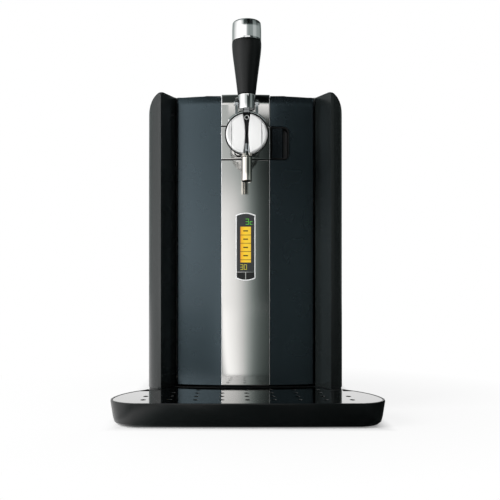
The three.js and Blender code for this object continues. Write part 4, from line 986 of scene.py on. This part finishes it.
def studio_material():
    """What glossy surfaces see: light by direction around the machine, bright on the front's
    left, dark in the middle and dim on its right, pale behind, and dark above and below."""
    finish = Finish("studio")
    turn = round_turn(finish, -1.0 * finish.axis("Y"))
    rise = finish.maths("ARCSINE", finish.axis("Z") / DOME_RADIUS) / math.pi + 0.5

    def window(by_turn, by_rise):
        """The light of one table of each kind, multiplied."""
        across = light_by(finish, turn, by_turn, FULL_TURN)
        return across * light_by(finish, rise, by_rise, HALF_TURN)

    front = window(FRONT_ROUND, FRONT_RISE)
    right = window(RIGHT_ROUND, RIGHT_RISE)
    sides = window(SIDES_ROUND, SIDES_RISE)
    high_right = window(HIGH_RIGHT_ROUND, HIGH_RIGHT_RISE)
    return glowing(finish, front + right + sides + high_right)


def studio_dome():
    """A sphere of light round the machine: x, y, z = R cos v sin u, R cos v cos u, R sin v."""
    u = np.linspace(0, 2 * np.pi, 48, endpoint=False)
    u, v = np.meshgrid(u, np.radians(np.linspace(-89, 89, 25)))
    points = np.stack([np.cos(v) * np.sin(u), np.cos(v) * np.cos(u), np.sin(v)], axis=-1)
    mesh = ring_grid("studio_dome", DOME_RADIUS * points)
    mesh.flip_normals()
    dome = bpy.data.objects.new("studio_dome", mesh)
    mesh.materials.append(studio_material())
    bpy.context.scene.collection.objects.link(dome)
    only_reflected(dome)


def reflected_cards():
    """Cards that only reflections see. One lies on the table all round and repeats the light by
    its direction from the door. A narrow one in front of the tray is dark, and a small one
    hangs in front of the tap's face."""
    out, side, front, tray_back, z = 5.7, 0.168, -0.40, -0.20, 0.0004
    door = 0.105
    table = Finish("table_card")
    turn = round_turn(table, -1.0 * table.axis("Y") - door)
    light = glowing(table, light_by(table, turn, TABLE_ROUND, FULL_TURN))
    strips = ((-out, -out, out, front), (-out, front, -side, out), (side, front, out, out))
    for i, strip in enumerate(strips):
        only_reflected(stage_plane("table_card_%d" % i, level(*strip, z), light))

    tray = Finish("tray_card")
    across = ((x + 0.5, value) for x, value in TRAY_ACROSS)
    light = glowing(tray, tray.ramp(tray.axis("X") + 0.5, *across))
    only_reflected(stage_plane("tray_card", level(-side, front, side, tray_back, z), light))

    tap = Finish("tap_card")
    light = glowing(tap, tap.ramp(tap.axis("Z"), *TAP_HEIGHTS))
    left, low, right, high, y = -0.079, 0.490, 0.150, 0.578, -0.503
    only_reflected(stage_plane("tap_card", upright(left, low, right, high, y), light))


def lamp(name, place, size, power):
    """A rectangular lamp that faces the machine and stays out of its reflections."""
    data = bpy.data.lights.new(name, "AREA")
    data.shape = "RECTANGLE"
    data.size, data.size_y = size
    data.energy = power
    light = bpy.data.objects.new(name, data)
    light.location = place
    direction = np.subtract(LAMP_TARGET, place)
    pan = math.atan2(direction[0], -direction[1])
    pitch = math.atan2(math.hypot(direction[0], direction[1]), -direction[2])
    light.rotation_euler = (-pitch, 0, pan)
    light.visible_glossy = False
    bpy.context.scene.collection.objects.link(light)


def studio_world():
    """White for the camera, in reflections and through clear things, and dim as a light."""
    world = bpy.data.worlds.new("studio_world")
    bpy.context.scene.world = world
    world.use_nodes = True
    links, nodes = world.node_tree.links, world.node_tree.nodes
    rays = nodes.new("ShaderNodeLightPath").outputs
    seen = rays["Is Camera Ray"]
    for kind in ("Is Glossy Ray", "Is Transmission Ray"):
        larger = nodes.new("ShaderNodeMath")
        larger.operation = "MAXIMUM"
        links.new(seen, larger.inputs[0])
        links.new(rays[kind], larger.inputs[1])
        seen = larger.outputs[0]
    strength = nodes.new("ShaderNodeMix")
    strength.inputs["A"].default_value = DIFFUSE_WORLD_LIGHT
    strength.inputs["B"].default_value = 1.0
    links.new(seen, strength.inputs["Factor"])
    nodes["Background"].inputs["Color"].default_value = (1, 1, 1, 1)
    links.new(strength.outputs[0], nodes["Background"].inputs["Strength"])


def build_stage():
    """The floor, what reflections see, the lamps and the world."""
    size = 12
    stage_plane("floor", level(-size, -size, size, size, 0), floor_material())
    studio_dome()
    reflected_cards()
    for name, (place, extent, power) in LAMPS.items():
        lamp(name, place, extent, power)
    studio_world()


def build_camera():
    """The photograph's camera, level and looking along +Y."""
    data = bpy.data.cameras.new("photo_camera")
    data.sensor_width = 36
    data.lens = CAMERA_LENS
    data.shift_x, data.shift_y = CAMERA_SHIFT
    camera = bpy.data.objects.new("photo_camera", data)
    camera.location = CAMERA_PLACE
    camera.rotation_euler = (math.pi / 2, 0, 0)
    bpy.context.scene.collection.objects.link(camera)
    bpy.context.scene.camera = camera


def build():
    build_camera()
    dress_parts()
    strip_piece("strip_lower_fine", "strip_lower")
    strip_piece("band_plate_fine", "band_plate")
    strip_piece("strip_upper_fine", "strip_upper", bend=True)
    cover_half("tap_cover_left_fine", "tap_cover_left", -1)
    cover_half("tap_cover_right_fine", "tap_cover_right", 1)
    spout_pieces()
    core_bar()
    core_ferrule()
    lever_pieces()
    display_figures()
    display_surround()
    build_stage()
    bpy.context.scene.view_settings.view_transform = "Standard"


build()
